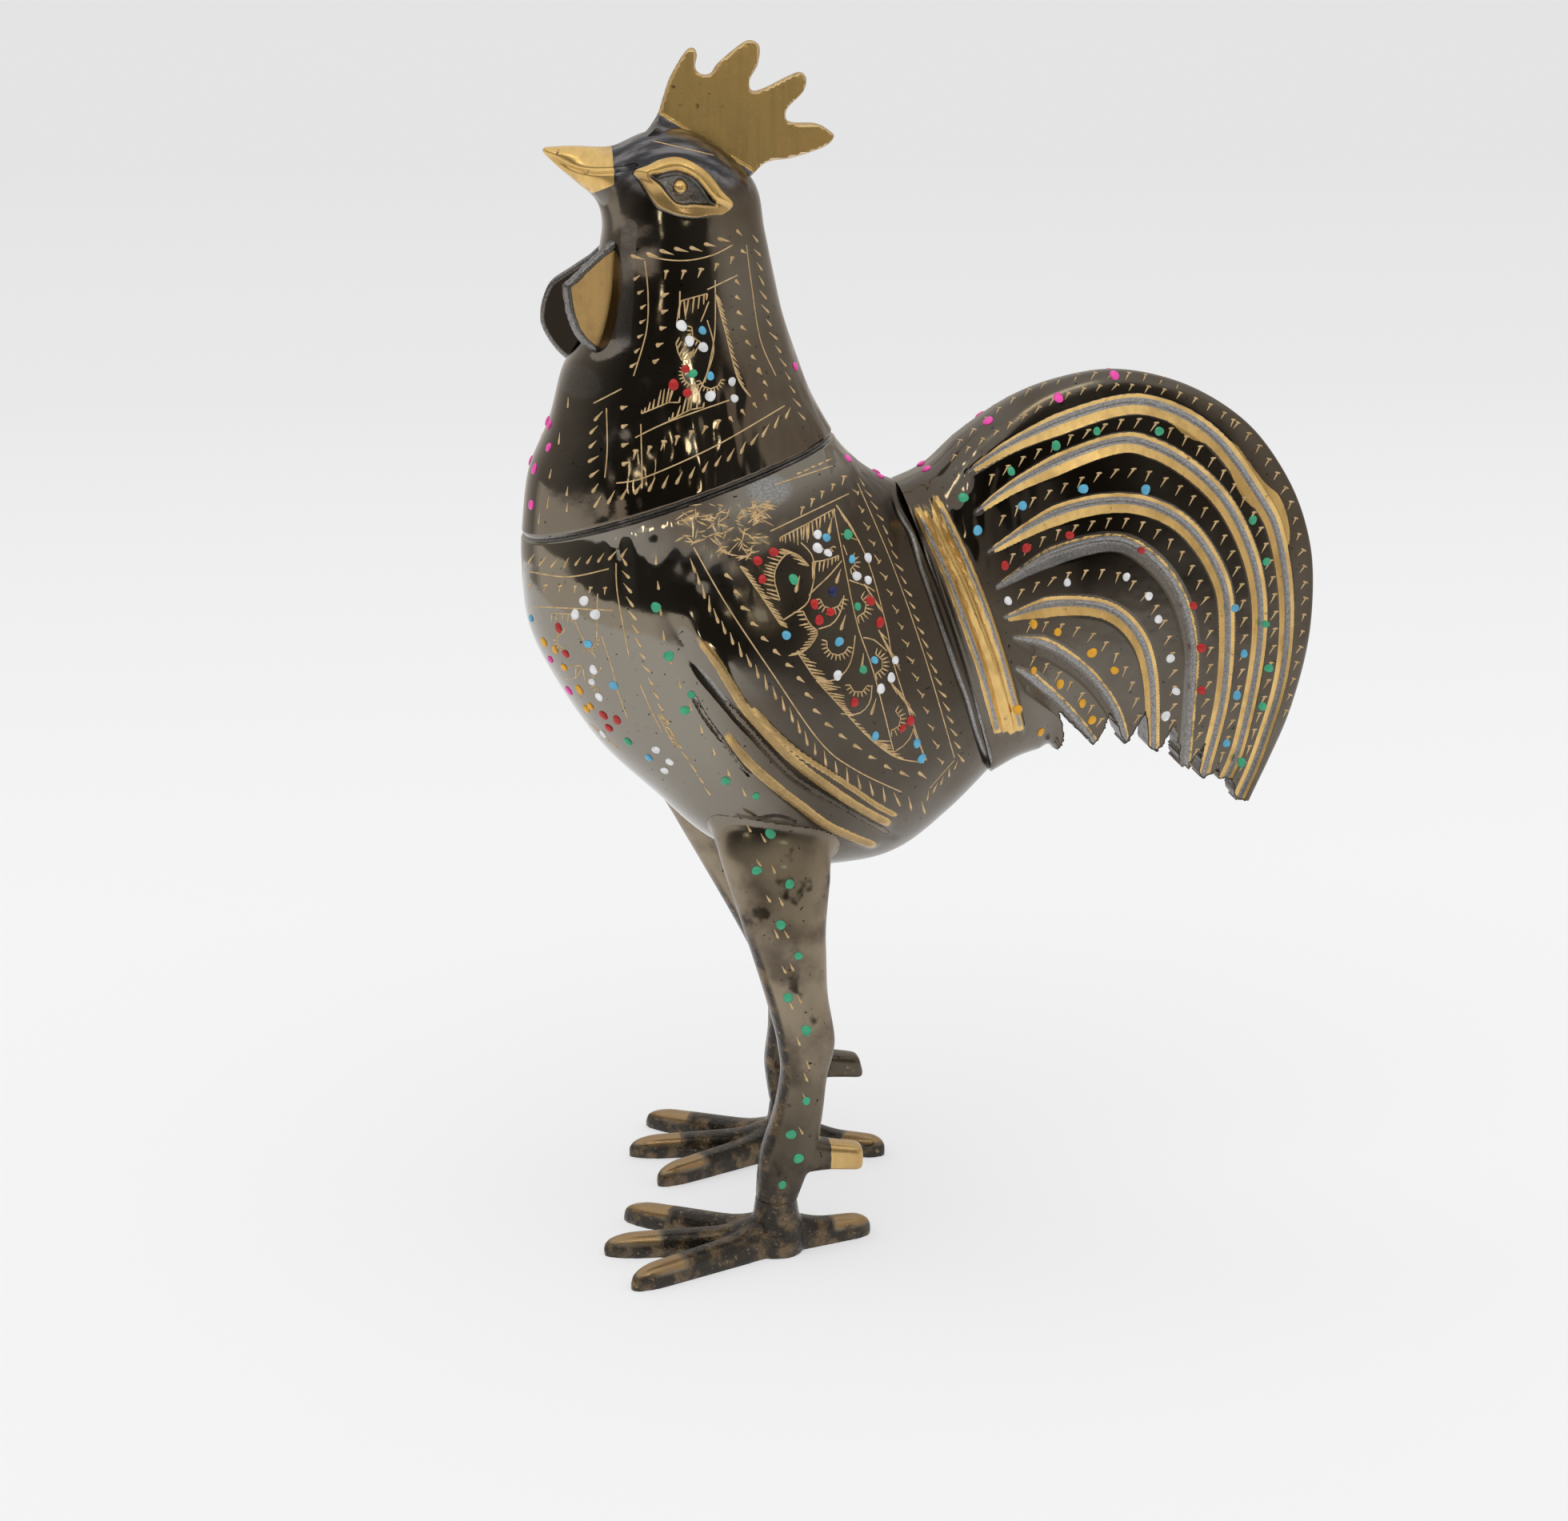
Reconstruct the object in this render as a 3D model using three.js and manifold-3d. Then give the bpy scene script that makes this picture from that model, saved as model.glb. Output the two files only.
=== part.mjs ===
import * as THREE from 'three';
import { mergeVertices } from 'three/addons/utils/BufferGeometryUtils.js';
import Module from 'manifold-3d';

// A cast brass rooster, 225 mm tall, that stands on its two feet. Millimetres, +Z up.
// It faces -X, its left side is at -Y, its median plane is y = 0 and its soles are at z = 0.

// Shell walls, and the clearance between two pieces that meet.
const WALL = 3;
const FIT_GAP = 0.3;

// Tapered collar in the neck opening, which the head drops over.
const COLLAR_HEIGHT = 9;
const COLLAR_DEPTH = 5;
const COLLAR_WALL = 2;

// Tapered spigot at the rear of the body, which carries the tail.
const SPIGOT_LENGTH = 11;
const SPIGOT_INSET = 6;
const SPIGOT_TAPER = 2;

// The tail is cored out from its socket: its wall, and where the core lies along and across the fan.
const TAIL_WALL = 2.2;
const CORE_FIRST_RIB = 1.5;
const CORE_LAST_RIB = 11;
const CORE_INNER = 0.32;
const CORE_OUTER = 0.9;

// How far the wings, the tail's two bands and the eyelids stand out. The wings fade towards the back.
const WING_RELIEF = 0.8;
const WING_EGG = 0.17;
const BAND_RELIEF = 1.2;
const BAND_HALF_WIDTH = 1.6;
const BAND_START = 5;
const BAND_SPACING = 3.6;
const LID_RELIEF = 1;

// Grooves between the feathers in both faces of the tail. A groove's ends are shallow and narrow.
const GROOVE_DEPTH = 1.1;
const GROOVE_HALF_WIDTH = 2;
const GROOVE_START = 0.3;
const GROOVE_FULL_FROM = 0.15;
const GROOVE_END = 0.65;

// Comb and wattle plates.
const COMB_THICKNESS = 3;
const TENON_DEPTH = 4;
const WATTLE_THICKNESS = 2;
const WATTLE_SPLAY = 22;
const WATTLE_ROOT_Y = 6.5;

// Legs: a stud on top of each goes through a boss in the body, and a peg below goes into the foot.
const STUD_X = -31;
const STUD_Y = 16.5;
const STUD_RADIUS = 3;
const STUD_END = 2;
const STUD_ROOT = 72;
const BOSS_RADIUS = 7;
const BOSS_TOP = 91;
const HIP_HEIGHT = 52;
const ANKLE_HEIGHT = 10.5;
const ANKLE_Y = 25;
const PEG_RADIUS = 2;
const PEG_DEPTH = 5;
const RIGHT_LEG_RAKE = 0.23;

// Spurs.
const SPUR_HEIGHT = 19;
const SPUR_RADIUS = 3.1;
const SPUR_REACH = 8.5;

// Washers and hexagon nuts on the leg studs.
const WASHER_RADIUS = 6;
const WASHER_THICKNESS = 1.2;
const NUT_ACROSS_FLATS = 9;
const NUT_THICKNESS = 4;

// Feet: three front toes and a hind toe on a hub. Angles are in degrees, outward is positive.
const TOE_LENGTH = 33;
const HIND_TOE_LENGTH = 20;
const TOE_HALF_WIDTH = 3;
const TOE_HEIGHT = 5.2;
const INSTEP_RISE = 4;
const TOE_SPREAD = 31;
const LEFT_FOOT_TURN = -3;
const RIGHT_FOOT_TURN = 2;
const LEFT_HIND_TURN = -17;
const RIGHT_HIND_TURN = -16;
const HUB_RADIUS = 5;

// Ribs are cross-sections. Each runs in the median plane from a front point to a back point and
// has a half-width: [front x, front z, back x, back z, half-width, y of its centre if not 0].
const NECK_SEAM = [-76.4, 135.4, -17.9, 153.7, 20.5];
const TAIL_JOINT = [12.5, 87.5, -6, 144, 15.5];
const NECK_RIBS = [
  NECK_SEAM,
  [-74.9, 147.1, -22, 161, 18.8],
  [-70.9, 156.8, -24.9, 168.5, 16.8],
  [-68.2, 166.4, -27.4, 176, 15.2],
  [-64.4, 172.9, -28.9, 182.6, 14.2],
  [-62.3, 179.5, -30.7, 191.2, 13.4],
  [-61.3, 186.8, -32.6, 199.9, 13],
  [-60.5, 192.6, -39.8, 207, 11.8],
  [-61.6, 196.9, -46.8, 210, 9.6],
  [-64.9, 200, -52.8, 208.9, 7],
  [-68, 202.6, -58.6, 206.6, 4.4],
  [-70.3, 204.7, -65.8, 206.7, 2.4],
  [-71.2, 205.9, -70.6, 206.5, 0.6],
];
const BODY_RIBS = [
  NECK_SEAM,
  [-76.5, 130.6, -17.4, 152.6, 22.6],
  [-75.6, 119.1, -16.4, 151.3, 25.8],
  [-71.1, 108.9, -15.2, 150, 28.2],
  [-62.8, 96.1, -14, 148.9, 29.6],
  [-52.6, 86, -12.8, 147.8, 30],
  [-42, 76.4, -11.6, 146.9, 29.4],
  [-28.6, 71, -10.4, 146.1, 28],
  [-14.8, 70.6, -9.2, 145.4, 25.4],
  [-5, 73, -8, 144.8, 22],
  [4.6, 80, -7, 144.4, 18.6],
  TAIL_JOINT,
];
const TAIL_RIBS = [
  TAIL_JOINT,
  [17.2, 90, 0.1, 146.9, 15],
  [21.7, 91.2, 6.5, 152.8, 12.6],
  [25, 91.4, 15.6, 159, 9.6],
  [27.6, 82.8, 24.8, 162.6, 7.6],
  [30.6, 81, 35.6, 164.2, 6.4],
  [33.6, 80, 46.5, 162.3, 5.7],
  [36.6, 79, 56, 158, 5.2],
  [39.6, 78, 64.1, 151.6, 4.8],
  [42.6, 77, 70.9, 142.1, 4.5],
  [45.6, 76, 74.8, 132.7, 4.2],
  [48.6, 75, 76.4, 123.2, 3.9],
  [51.6, 74, 76, 110.5, 3.6],
  [54.6, 73, 73.1, 97.7, 3.3],
  [58, 72, 69.3, 88.1, 3],
  [61.2, 71.3, 64.4, 78, 2.8],
];
const LEG_RIBS = [
  [-35.9, ANKLE_HEIGHT, -28.2, ANKLE_HEIGHT, 4.2, 25],
  [-35.5, 16, -26.3, 15.4, 4.2, 24.8],
  [-34.8, 20.5, -24.4, 20, 4.1, 24.6],
  [-32.4, 27.8, -23.1, 27.4, 3.9, 24.2],
  [-31, 35.2, -22.2, 34.7, 4, 23.8],
  [-31.4, 40, -21, 39.5, 4.8, 23.5],
  [-32, 43.5, -20.8, 43, 5.2, 23.2],
  [-34, 51.1, -22, 50.6, 5.8, 22.6],
  [-36.2, 58.5, -22.2, 57.9, 6.8, 22],
  [-38.2, 65, -22.1, 64.3, 8, 21.4],
  [-41.3, 75.1, -20.8, 74.3, 9, 20],
  [-43, 81, -20, 80.5, 8.4, 18.6],
  [-43, 89, -20, 89, 6.5, 17],
];
const SECTION_EGG = 0.1;
const SHELL_FULLNESS = 0.9;
const TAIL_FULLNESS = 0.62;
const LEG_FULLNESS = 0.68;

// Ribs at which the hollows of the neck and of the body end.
const NECK_HOLLOW_RIB = 6;
const BODY_HOLLOW_RIB = 9;

// Flat outlines in side view, [x, z].
const WING_OUTLINE = [
  [-47.4, 136.8], [-49.6, 133.8], [-50.1, 128.7], [-49.3, 123.4], [-41.1, 113.6], [-35.5, 106],
  [-28.2, 96.7], [-19.3, 89.6], [-10.6, 85.8], [1, 87.9], [6.2, 95.4], [-0.8, 118.5],
  [-8.5, 139.5], [-13, 146.7], [-18.8, 146.7], [-21.3, 143.8], [-32.4, 137.7],
];
const COMB_TOP = [
  [-49.9, 211.5], [-49.1, 215.4], [-47.8, 218.9], [-45.1, 223.2], [-43.6, 223.9], [-42.9, 222.7],
  [-43.2, 220.5], [-42.2, 219.3], [-40.5, 219.4], [-39, 221.3], [-35, 224.5], [-33.1, 225.2],
  [-31.5, 224.1], [-31.8, 220.9], [-33.3, 218.1], [-32.9, 216.3], [-30.7, 216.7], [-26.3, 218.8],
  [-24.1, 219.5], [-22.9, 218.3], [-23.5, 215.9], [-26.3, 213.1], [-26.6, 211.2], [-25.2, 210.5],
  [-21.1, 210.3], [-18.4, 208.8], [-17.8, 207.7], [-19.6, 206], [-25.5, 204.1], [-30.3, 203.3],
];
const COMB_ROOT = [[-34.5, 200.2], [-38.5, 203.8], [-43, 206.5], [-47, 208.2], [-50.2, 208.6]];
const TENON_START = [-46.5, 209.5];
const TENON_END = [-37.5, 205.5];
const LEFT_WATTLE_OUTLINE = [
  [-58.9, 190.4], [-63.1, 187.9], [-67.8, 184.2], [-69.4, 183], [-69.4, 180.8], [-68.8, 177.3],
  [-67, 173.3], [-64.1, 170.6], [-61.1, 169.2], [-58.4, 171.5], [-57.8, 179], [-57.8, 186],
];
const RIGHT_WATTLE_OUTLINE = [
  [-59.2, 188.2], [-63, 186], [-66.4, 183.8], [-70, 181.4], [-71.6, 178.7], [-72.4, 175.5],
  [-72.1, 172.5], [-69.6, 168.6], [-66.2, 166.2], [-62.2, 167.4], [-58.6, 172.6], [-57.8, 180.6],
];
const FEATHER_TIPS = [
  [21.5, 90.9], [25.6, 91.6], [26.6, 94.3], [25.1, 99.9], [30.7, 94.2], [32.8, 91.9], [34.9, 95.6], [35.5, 98.5],
  [37.5, 95.5], [39.2, 91.7], [40.7, 94.3], [42.9, 98.4], [44, 91], [45.6, 90.1], [46.8, 92],
  [48.8, 95.8], [50, 90.3], [50, 87.4], [52.1, 86.2], [52.7, 88.1], [55, 91.2], [54, 85.8],
  [55.1, 83.8], [57.9, 86], [58.4, 84], [60.7, 83.7], [62.1, 79.6], [64, 79], [70, 79],
];
const TAIL_GROOVES = [
  [[6.5, 146.5], [17, 152], [34.5, 157.5], [44.5, 157], [55, 151], [64, 139.5], [68, 132], [70.5, 118.5],
    [70, 104], [66, 89], [62.5, 80]],
  [[8, 139.5], [17, 144.5], [34.5, 150.5], [43, 149.5], [52, 144], [59, 136], [64, 124], [65, 110], [62, 91],
    [58.5, 82]],
  [[10, 132], [23, 137.5], [34.5, 139.5], [43.5, 138], [51, 133], [57, 123.5], [58.5, 113.5], [58, 100],
    [55, 85.5], [53.5, 80]],
  [[11.5, 125.5], [23, 130], [35, 132], [42.5, 128.5], [48.5, 121], [51.5, 110.5], [51.5, 99], [51, 84]],
  [[13, 119.5], [23, 120.5], [34, 119], [40.5, 113.5], [43.5, 105], [44.5, 91.5], [44.5, 87]],
  [[15, 115.5], [23, 112], [30.5, 106.5], [36, 99.5], [38.5, 93], [39.5, 88]],
  [[15.5, 109.5], [20, 105.5], [26, 100], [32, 93], [34, 89]],
];
const EYE_CENTRE = [-46.2, 199.6];
const EYE_LENGTH = 15;
const EYE_HEIGHT = 8.5;
const EYE_TILT = 25;

// Sides round a section and steps from one rib to the next.
const SHELL_SIDES = 28;
const HOLLOW_SIDES = 20;
const LEG_SIDES = 14;
const ROUND_SIDES = 20;
const RIB_STEPS = 2;
const GROOVE_STEPS = 14;

// Width of the plates that cut right through the bird.
const cutWidth = 3 * Math.max(...BODY_RIBS.map((rib) => rib[4]));

const LACQUER_COLOUR = 0x4a433b;
const BRASS_COLOUR = 0xb38f4a;

const wasm = await Module();
wasm.setup();

// Booleans: geometry to solid and back.
function toSolid(geometry) {
  const bare = geometry.index ? geometry.clone() : mergeVertices(stripped(geometry));
  const merged = mergeVertices(stripped(bare), 1e-4);
  const vertProperties = new Float32Array(merged.attributes.position.array);
  const triVerts = new Uint32Array(merged.index.array);
  return new wasm.Manifold(new wasm.Mesh({ numProp: 3, vertProperties, triVerts }));
}

function stripped(geometry) {
  const copy = geometry.clone();
  copy.deleteAttribute('normal');
  copy.deleteAttribute('uv');
  return copy;
}

function toGeometry(solid) {
  const { vertProperties, triVerts } = solid.getMesh();
  const geometry = new THREE.BufferGeometry();
  geometry.setAttribute('position', new THREE.BufferAttribute(new Float32Array(vertProperties), 3));
  geometry.setIndex(new THREE.BufferAttribute(new Uint32Array(triVerts), 1));
  geometry.computeVertexNormals();
  return geometry;
}

// Signed volume of a closed mesh, negative where its faces point in.
function signedVolume(geometry) {
  const position = geometry.attributes.position;
  const corner = [new THREE.Vector3(), new THREE.Vector3(), new THREE.Vector3()];
  let volume = 0;
  for (let i = 0; i < geometry.index.count; i += 3) {
    corner.forEach((point, k) => point.fromBufferAttribute(position, geometry.index.getX(i + k)));
    volume += corner[0].dot(corner[1].clone().cross(corner[2])) / 6;
  }
  return volume;
}

function facingOut(geometry) {
  if (signedVolume(geometry) < 0) {
    const index = geometry.index;
    for (let i = 0; i < index.count; i += 3) {
      const first = index.getX(i);
      index.setX(i, index.getX(i + 1));
      index.setX(i + 1, first);
    }
  }
  return geometry;
}

// Skin over a row of rings, closed by a flat fan at each end.
function skin(rings) {
  const sides = rings[0].length;
  const points = rings.flat();
  const triangles = [];
  for (let r = 0; r < rings.length - 1; r += 1) {
    for (let s = 0; s < sides; s += 1) {
      const a = r * sides + s;
      const b = r * sides + ((s + 1) % sides);
      triangles.push(a, b, b + sides, a, b + sides, a + sides);
    }
  }
  const middle = (ring) => ring.reduce((sum, p) => sum.add(p), new THREE.Vector3()).divideScalar(sides);
  const first = points.push(middle(rings[0])) - 1;
  const last = points.push(middle(rings[rings.length - 1])) - 1;
  const lastRow = (rings.length - 1) * sides;
  for (let s = 0; s < sides; s += 1) {
    const next = (s + 1) % sides;
    triangles.push(first, next, s, last, lastRow + s, lastRow + next);
  }
  const geometry = new THREE.BufferGeometry().setFromPoints(points);
  geometry.setIndex(triangles);
  return facingOut(geometry);
}

// Ribs: smooth lines through them, and copies moved along or square to themselves.
function ribsBetween(ribs, start, end, steps = RIB_STEPS) {
  const line = (a, b) => new THREE.SplineCurve(ribs.map((rib) => new THREE.Vector2(rib[a], rib[b])));
  const front = line(0, 1);
  const back = line(2, 3);
  const width = new THREE.SplineCurve(ribs.map((rib) => new THREE.Vector2(rib[4], rib[5] ?? 0)));
  const count = Math.round((end - start) * steps);
  return Array.from({ length: count + 1 }, (_, i) => {
    const t = (start + i / steps) / (ribs.length - 1);
    const f = front.getPoint(t);
    const b = back.getPoint(t);
    const w = width.getPoint(t);
    return [f.x, f.y, b.x, b.y, w.x, w.y];
  });
}

function ribDirection(rib) {
  return new THREE.Vector2(rib[2] - rib[0], rib[3] - rib[1]).normalize();
}

function insetRib(rib, inset) {
  const d = ribDirection(rib).multiplyScalar(inset);
  return [rib[0] + d.x, rib[1] + d.y, rib[2] - d.x, rib[3] - d.y, rib[4] - inset, rib[5] ?? 0];
}

function widerRib(rib, extra) {
  return [rib[0], rib[1], rib[2], rib[3], rib[4] + extra, rib[5] ?? 0];
}

function shiftRib(rib, distance) {
  const d = ribDirection(rib).multiplyScalar(distance);
  return [rib[0] - d.y, rib[1] + d.x, rib[2] - d.y, rib[3] + d.x, rib[4], rib[5] ?? 0];
}

function ring(rib, sides, fullness, egg) {
  return Array.from({ length: sides }, (_, i) => {
    const angle = (2 * Math.PI * i) / sides;
    const along = (1 - Math.cos(angle)) / 2;
    const sine = Math.sin(angle);
    const side = Math.sign(sine) * Math.abs(sine) ** fullness * (1 + egg * Math.cos(angle));
    const x = rib[0] + (rib[2] - rib[0]) * along;
    const z = rib[1] + (rib[3] - rib[1]) * along;
    return new THREE.Vector3(x, (rib[5] ?? 0) + rib[4] * side, z);
  });
}

function loft(ribs, { sides = SHELL_SIDES, fullness = SHELL_FULLNESS, egg = SECTION_EGG } = {}) {
  return skin(ribs.map((rib) => ring(rib, sides, fullness, egg)));
}

// Plate of a flat side-view outline, centred on y = 0, and upright cylinders.
function plate(outline, thickness) {
  const shape = new THREE.Shape(outline.map(([x, z]) => new THREE.Vector2(x, z)));
  const geometry = new THREE.ExtrudeGeometry(shape, { depth: thickness, bevelEnabled: false });
  geometry.translate(0, 0, -thickness / 2);
  return geometry.rotateX(Math.PI / 2);
}

function smoothOutline(outline, count) {
  const curve = new THREE.SplineCurve(outline.map(([x, z]) => new THREE.Vector2(x, z)));
  return Array.from({ length: count }, (_, i) => curve.getPoint(i / (count - 1)).toArray());
}

function upright(radius, bottom, top, x, y) {
  const geometry = new THREE.CylinderGeometry(radius, radius, top - bottom, ROUND_SIDES);
  return geometry.rotateX(Math.PI / 2).translate(x, y, (bottom + top) / 2);
}

// Body shell: outer form with raised wings, hollow, leg bosses, tail spigot.
function bodyRibs(inset) {
  return ribsBetween(BODY_RIBS, 0, BODY_RIBS.length - 1).map((rib) => insetRib(rib, inset));
}

function bodyForm() {
  const raised = bodyRibs(0).map((rib) => widerRib(rib, WING_RELIEF));
  const wings = toSolid(plate(WING_OUTLINE, cutWidth)).intersect(toSolid(loft(raised, { egg: WING_EGG })));
  return toSolid(loft(bodyRibs(0))).add(wings);
}

function bodyHollow() {
  const ribs = ribsBetween(BODY_RIBS, 0, BODY_HOLLOW_RIB).map((rib) => insetRib(rib, WALL));
  ribs.unshift(shiftRib(ribs[0], WALL));
  return toSolid(loft(ribs, { sides: HOLLOW_SIDES }));
}

function spigot(gap) {
  const root = insetRib(TAIL_JOINT, SPIGOT_INSET - gap);
  const end = insetRib(root, SPIGOT_TAPER);
  const ribs = [shiftRib(root, 1), root, shiftRib(end, -SPIGOT_LENGTH - gap)];
  return toSolid(loft(ribs, { sides: HOLLOW_SIDES }));
}

function bodyShell() {
  const form = bodyForm();
  let solid = form.subtract(bodyHollow());
  for (const side of [-1, 1]) {
    const boss = toSolid(upright(BOSS_RADIUS, 0, BOSS_TOP, STUD_X, side * STUD_Y));
    solid = solid.add(boss.intersect(form));
  }
  solid = solid.add(spigot(0));
  for (const side of [-1, 1]) {
    const hole = upright(STUD_RADIUS + FIT_GAP, 0, BOSS_TOP + 1, STUD_X, side * STUD_Y);
    solid = solid.subtract(toSolid(hole));
  }
  return toGeometry(solid);
}

// Neck collar: a skirt in the body and a taper that follows the inside of the neck.
function collarRibs(inset, extra) {
  const seamLength = new THREE.Vector2(NECK_RIBS[1][0] - NECK_SEAM[0], NECK_RIBS[1][1] - NECK_SEAM[1]);
  const top = COLLAR_HEIGHT / seamLength.length();
  const ribs = ribsBetween(NECK_RIBS, 0, top, 2 / top).map((rib) => insetRib(rib, inset));
  ribs.unshift(shiftRib(ribs[0], -COLLAR_DEPTH - extra));
  if (extra > 0) {
    ribs.push(shiftRib(ribs[ribs.length - 1], extra));
  }
  return ribs;
}

function neckCollar() {
  const outside = toSolid(loft(collarRibs(WALL + FIT_GAP, 0), { sides: HOLLOW_SIDES }));
  const inside = toSolid(loft(collarRibs(WALL + FIT_GAP + COLLAR_WALL, 1), { sides: HOLLOW_SIDES }));
  return toGeometry(outside.subtract(inside));
}

// Head and neck shell: hollow neck, eyelids, slot for the comb.
function neckRibs(inset) {
  const ribs = ribsBetween(NECK_RIBS, 0, NECK_RIBS.length - 1).map((rib) => insetRib(rib, inset));
  ribs[0] = shiftRib(ribs[0], FIT_GAP);
  return ribs;
}

function neckHollow() {
  const ribs = ribsBetween(NECK_RIBS, 0, NECK_HOLLOW_RIB).map((rib) => insetRib(rib, WALL));
  ribs.unshift(shiftRib(ribs[0], -WALL));
  return toSolid(loft(ribs, { sides: HOLLOW_SIDES }));
}

function eyelids() {
  const shape = Array.from({ length: ROUND_SIDES }, (_, i) => {
    const angle = (2 * Math.PI * i) / ROUND_SIDES;
    const point = new THREE.Vector2(
      (EYE_LENGTH / 2) * Math.cos(angle),
      (EYE_HEIGHT / 2) * Math.sin(angle) * Math.abs(Math.sin(angle)) ** 0.4,
    );
    point.rotateAround(new THREE.Vector2(), THREE.MathUtils.degToRad(-EYE_TILT));
    return [EYE_CENTRE[0] + point.x, EYE_CENTRE[1] + point.y];
  });
  return toSolid(plate(shape, cutWidth)).intersect(toSolid(loft(neckRibs(-LID_RELIEF))));
}

function combTenon(gap) {
  const start = new THREE.Vector2(...TENON_START);
  const end = new THREE.Vector2(...TENON_END);
  const along = end.clone().sub(start).normalize();
  const down = new THREE.Vector2(along.y, -along.x).multiplyScalar(Math.sign(-along.x) || 1);
  down.multiplyScalar(Math.sign(-down.y) || 1);
  const reach = down.clone().multiplyScalar(TENON_DEPTH + gap);
  const slack = along.multiplyScalar(gap);
  const outline = [
    start.clone().sub(slack).sub(reach), start.clone().sub(slack).add(reach),
    end.clone().add(slack).add(reach), end.clone().add(slack).sub(reach),
  ];
  return plate(outline.map((p) => p.toArray()), COMB_THICKNESS - 1 + 2 * gap);
}

function headNeckShell() {
  const form = toSolid(loft(neckRibs(0))).add(eyelids());
  return toGeometry(form.subtract(neckHollow()).subtract(toSolid(combTenon(FIT_GAP))));
}

// Comb and wattles: plates trimmed to the head.
function headClearance() {
  return toSolid(loft(neckRibs(-FIT_GAP)));
}

function comb() {
  const outline = [...COMB_TOP, ...COMB_ROOT];
  const blade = toSolid(plate(outline, COMB_THICKNESS)).subtract(headClearance());
  return toGeometry(blade.add(toSolid(combTenon(0))));
}

function wattle(outline, side) {
  const splay = THREE.MathUtils.degToRad(WATTLE_SPLAY);
  const hinge = Math.max(...outline.map((p) => p[0]));
  const blade = plate(smoothOutline([...outline, outline[0]], 28).slice(0, -1), WATTLE_THICKNESS);
  blade.translate(-hinge, 0, 0).rotateZ(-side * splay).translate(hinge, side * WATTLE_ROOT_Y, 0);
  return toGeometry(toSolid(blade).subtract(headClearance()));
}

// Tail: fan with two root bands, socket for the spigot, grooves between feathers, notched feather tips.
function tailRibs(inset) {
  const ribs = ribsBetween(TAIL_RIBS, 0, TAIL_RIBS.length - 1).map((rib) => insetRib(rib, inset));
  ribs[0] = shiftRib(ribs[0], -FIT_GAP);
  return ribs;
}

function tailBands() {
  const band = (rib) => {
    const ribs = [shiftRib(rib, BAND_HALF_WIDTH), widerRib(rib, BAND_RELIEF), shiftRib(rib, -BAND_HALF_WIDTH)];
    return toSolid(loft(ribs, { fullness: TAIL_FULLNESS }));
  };
  return band(shiftRib(TAIL_JOINT, -BAND_START)).add(band(shiftRib(TAIL_JOINT, -BAND_START - BAND_SPACING)));
}

function tailCore() {
  const ribs = ribsBetween(TAIL_RIBS, CORE_FIRST_RIB, CORE_LAST_RIB).map((rib) => {
    const at = (share, k) => THREE.MathUtils.lerp(rib[k], rib[k + 2], share);
    return [
      at(CORE_INNER, 0), at(CORE_INNER, 1), at(CORE_OUTER, 0), at(CORE_OUTER, 1), rib[4] - TAIL_WALL, 0,
    ];
  });
  return toSolid(loft(ribs, { sides: HOLLOW_SIDES, fullness: TAIL_FULLNESS }));
}

// Distance of a face of the fan from the median plane, at a point in side view.
function faceReach(fan, point, otherwise) {
  const start = new THREE.Vector3(point.x, -cutWidth, point.y);
  const [hit] = new THREE.Raycaster(start, new THREE.Vector3(0, 1, 0)).intersectObject(fan);
  return hit ? -hit.point.y : otherwise;
}

function groove(line, fan, side) {
  const curve = new THREE.SplineCurve(line.map(([x, z]) => new THREE.Vector2(x, z)));
  const rings = Array.from({ length: GROOVE_STEPS + 1 }, (_, i) => {
    const t = i / GROOVE_STEPS;
    const fullness = t < GROOVE_FULL_FROM
      ? THREE.MathUtils.lerp(GROOVE_START, 1, t / GROOVE_FULL_FROM)
      : THREE.MathUtils.lerp(1, GROOVE_END, (t - GROOVE_FULL_FROM) / (1 - GROOVE_FULL_FROM));
    const middle = curve.getPoint(t);
    const tangent = curve.getTangent(t);
    const across = new THREE.Vector2(-tangent.y, tangent.x).multiplyScalar(GROOVE_HALF_WIDTH * fullness);
    const reach = faceReach(fan, middle, 0);
    const corner = (point, lift) => new THREE.Vector3(
      point.x, side * (faceReach(fan, point, reach) + lift), point.y,
    );
    return [
      corner(middle, -GROOVE_DEPTH * fullness), corner(middle.clone().add(across), FIT_GAP / 2),
      corner(middle, GROOVE_DEPTH), corner(middle.clone().sub(across), FIT_GAP / 2),
    ];
  });
  return toSolid(skin(rings));
}

function featherTips() {
  const below = [[FEATHER_TIPS[FEATHER_TIPS.length - 1][0] + 20, 60], [FEATHER_TIPS[0][0], 60]];
  return toSolid(plate([...FEATHER_TIPS, ...below], cutWidth));
}

function tail() {
  const fan = loft(tailRibs(0), { fullness: TAIL_FULLNESS });
  let solid = toSolid(fan).add(tailBands()).subtract(spigot(FIT_GAP)).subtract(tailCore());
  for (const side of [-1, 1]) {
    for (const line of TAIL_GROOVES) {
      solid = solid.subtract(groove(line, new THREE.Mesh(fan), side));
    }
  }
  return toGeometry(solid.subtract(featherTips()));
}

// Legs: thigh, shank and spur, with the stud above and the peg below.
function setback(side, z) {
  return side > 0 ? RIGHT_LEG_RAKE * (HIP_HEIGHT - z) : 0;
}

function legRibs(side) {
  return LEG_RIBS.map((rib) => [
    rib[0] + setback(side, rib[1]), rib[1], rib[2] + setback(side, rib[3]), rib[3], rib[4], side * rib[5],
  ]);
}

function ankle(side) {
  const [frontX, , backX] = legRibs(side)[0];
  return new THREE.Vector2((frontX + backX) / 2, side * ANKLE_Y);
}

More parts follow.
